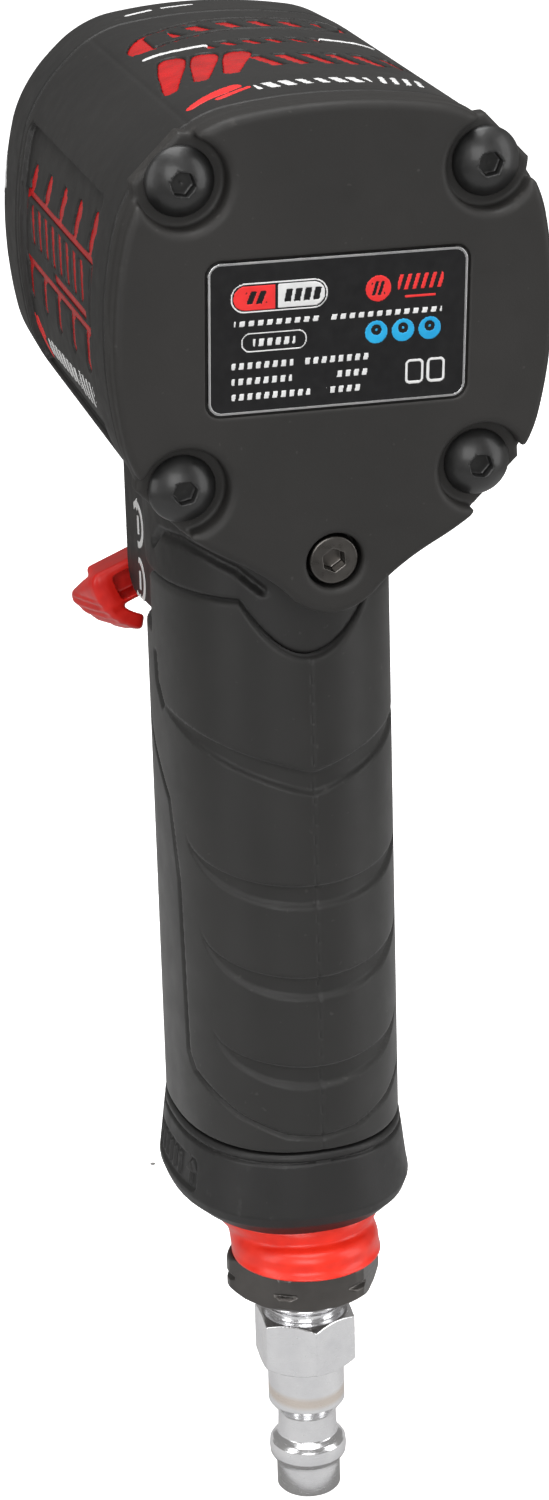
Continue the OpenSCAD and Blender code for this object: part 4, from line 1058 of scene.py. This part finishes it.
grip_piece("grip", grip_shape, (-17.2, -23, GRIP_END), (17.2, 23, -44), 0.34,
           GRIP, replaces=["grip_sleeve"], slot="grip_rubber")
grip_piece("cap", cap_shape, (-18.8, -23.4, CAP_Z1), (18.8, 23.4, CAP_Z0), 0.3,
           CAP, replaces=["base_cap"], slot="cap_plastic")
grip_piece("collar", collar_shape, (-15, -21, LIP_Z), (15, 24.3, CAP_Z1), 0.25,
           COLLAR_RED, replaces=["exhaust_collar"], slot="collar_plastic")
grip_piece("bushing", bushing_shape, (-12.2, -3, HEX_Z1), (12.2, 22.2, -112), 0.22,
           GUNMETAL, replaces=["inlet_bushing"], slot="gunmetal")
grip_piece("nipple", nipple_shape, (-8.3, INLET_Y - 8.3, TIP_Z), (8.3, INLET_Y + 8.3, HEX_Z1 + THREAD_L),
           0.17, NICKEL, replaces=["air_nipple"], slot="nickel_plate")
grip_piece("lever", lever_shape, (-24.5, -42, -62), (24.5, -27, -34), 0.19,
           RED, body="reverse_lever", replaces=["reverse_lever"], slot="red_plastic")
grip_piece("trigger_blade", trigger_shape, (-7, -47, -67), (7, -35, -39), 0.25,
           RED, body="trigger", replaces=["trigger"], slot="red_plastic")


# Floor, light and camera ----------------------------------------------------------------------

def set_camera():
    """The photograph's viewpoint: behind the tool, to its left and a little above."""
    back = Vector((0.2556, 0.8763, 0.4083)).normalized()
    right = Vector((0, 0, 1)).cross(back).normalized()
    up = back.cross(right)
    roll = math.radians(0.23)
    tilted = right * math.cos(roll) + up * math.sin(roll)
    upright = back.cross(tilted)
    data = bpy.data.cameras.new("camera")
    data.sensor_fit = "VERTICAL"
    data.sensor_height = 36
    data.lens = 76.68
    data.clip_start = 0.01
    data.clip_end = 10
    camera = add_object("camera", data)
    place = Vector((121.2, 494.9, 120.9)) * MM
    camera.matrix_world = Matrix.Translation(place) @ Matrix((tilted, upright, back)).transposed().to_4x4()
    bpy.context.scene.camera = camera


def add_area(name, place, target, size, power):
    """A softbox at place that looks at target, both in metres."""
    data = bpy.data.lights.new(name, "AREA")
    data.shape = "RECTANGLE"
    data.size, data.size_y = size
    data.energy = power
    lamp = add_object(name, data)
    lamp.location = place
    lamp.rotation_euler = (Vector(place) - Vector(target)).to_track_quat("Z", "Y").to_euler()


def add_turned(name, line, around, centre_y, floor_z, m):
    """A sheet of m's material from a line of (radius, height), turned about an upright axis, in metres."""
    turns = [2 * math.pi * k / around for k in range(around)]
    points = [(r * math.cos(a), centre_y + r * math.sin(a), floor_z + z) for r, z in line for a in turns]
    faces = []
    for start in range(0, around * (len(line) - 1), around):
        for k in range(around):
            after = (k + 1) % around
            faces.append((start + k, start + after, start + around + after, start + around + k))
    mesh = bpy.data.meshes.new(name)
    mesh.from_pydata(points, [], faces)
    mesh.shade_smooth()
    sheet = add_object(name, mesh)
    sheet.data.materials.append(m.material)
    return sheet


def add_stage():
    """A round pale floor just under the tip that curves up into a wall and closes overhead."""
    reach, bend, height, inner = 2.2, 0.8, 3.5, 0.0005
    line = [(inner, 0.0), (0.5, 0.0), (1.2, 0.0), (reach, 0.0)]
    for a in np.linspace(0.2, math.pi / 2, 8):
        line.append((reach + bend * math.sin(a), bend - bend * math.cos(a)))
    line += [(reach + bend, height), (inner, height + 0.5)]
    m = Nodes("backdrop", 0.9, specular=0.1)
    m.colour(m.mix(m.noise(0.002, 1), (0.90, 0.90, 0.90), (0.93, 0.93, 0.93)))
    m.glow(1.0)
    backdrop = add_turned("backdrop", line, 48, 0.0, cad_box[0][2] - 0.0005, m)
    backdrop.visible_diffuse = False
    backdrop.visible_glossy = False
    backdrop.visible_shadow = False


def add_card():
    """A white card under the tip, seen only by reflections, that lights the plated inlet from below."""
    m = Nodes("card_white", 0.9, specular=0.0)
    m.colour(m.mix(m.noise(0.002, 1), (0.28, 0.28, 0.28), (0.32, 0.32, 0.32)))
    m.glow(0.32)
    line = [(0.012 + 0.03 * i, 0.0) for i in range(10)]
    card = add_turned("card", line, 24, 0.1, cad_box[0][2] - 0.0004, m)
    card.visible_camera = False
    card.visible_diffuse = False
    card.visible_shadow = False


def add_light():
    world = bpy.data.worlds.new("studio")
    world.use_nodes = True
    background = world.node_tree.nodes["Background"]
    background.inputs["Color"].default_value = (1, 0.985, 0.96, 1)
    background.inputs["Strength"].default_value = 0.27
    bpy.context.scene.world = world
    centre = (0, 0.07, -0.06)
    add_area("top_softbox", (0.05, 0.15, 0.75), centre, (0.6, 0.6), 6.0)
    add_area("left_softbox", (0.75, 0.35, 0.15), centre, (0.3, 0.9), 2.3)
    add_area("right_softbox", (-0.65, 0.45, 0.1), centre, (0.35, 0.9), 2.4)
    add_area("rear_softbox", (0.3, 1.2, 0.35), centre, (0.7, 0.7), 6.5)
    bpy.context.scene.view_settings.view_transform = "Standard"


set_camera()
add_stage()
add_card()
add_light()
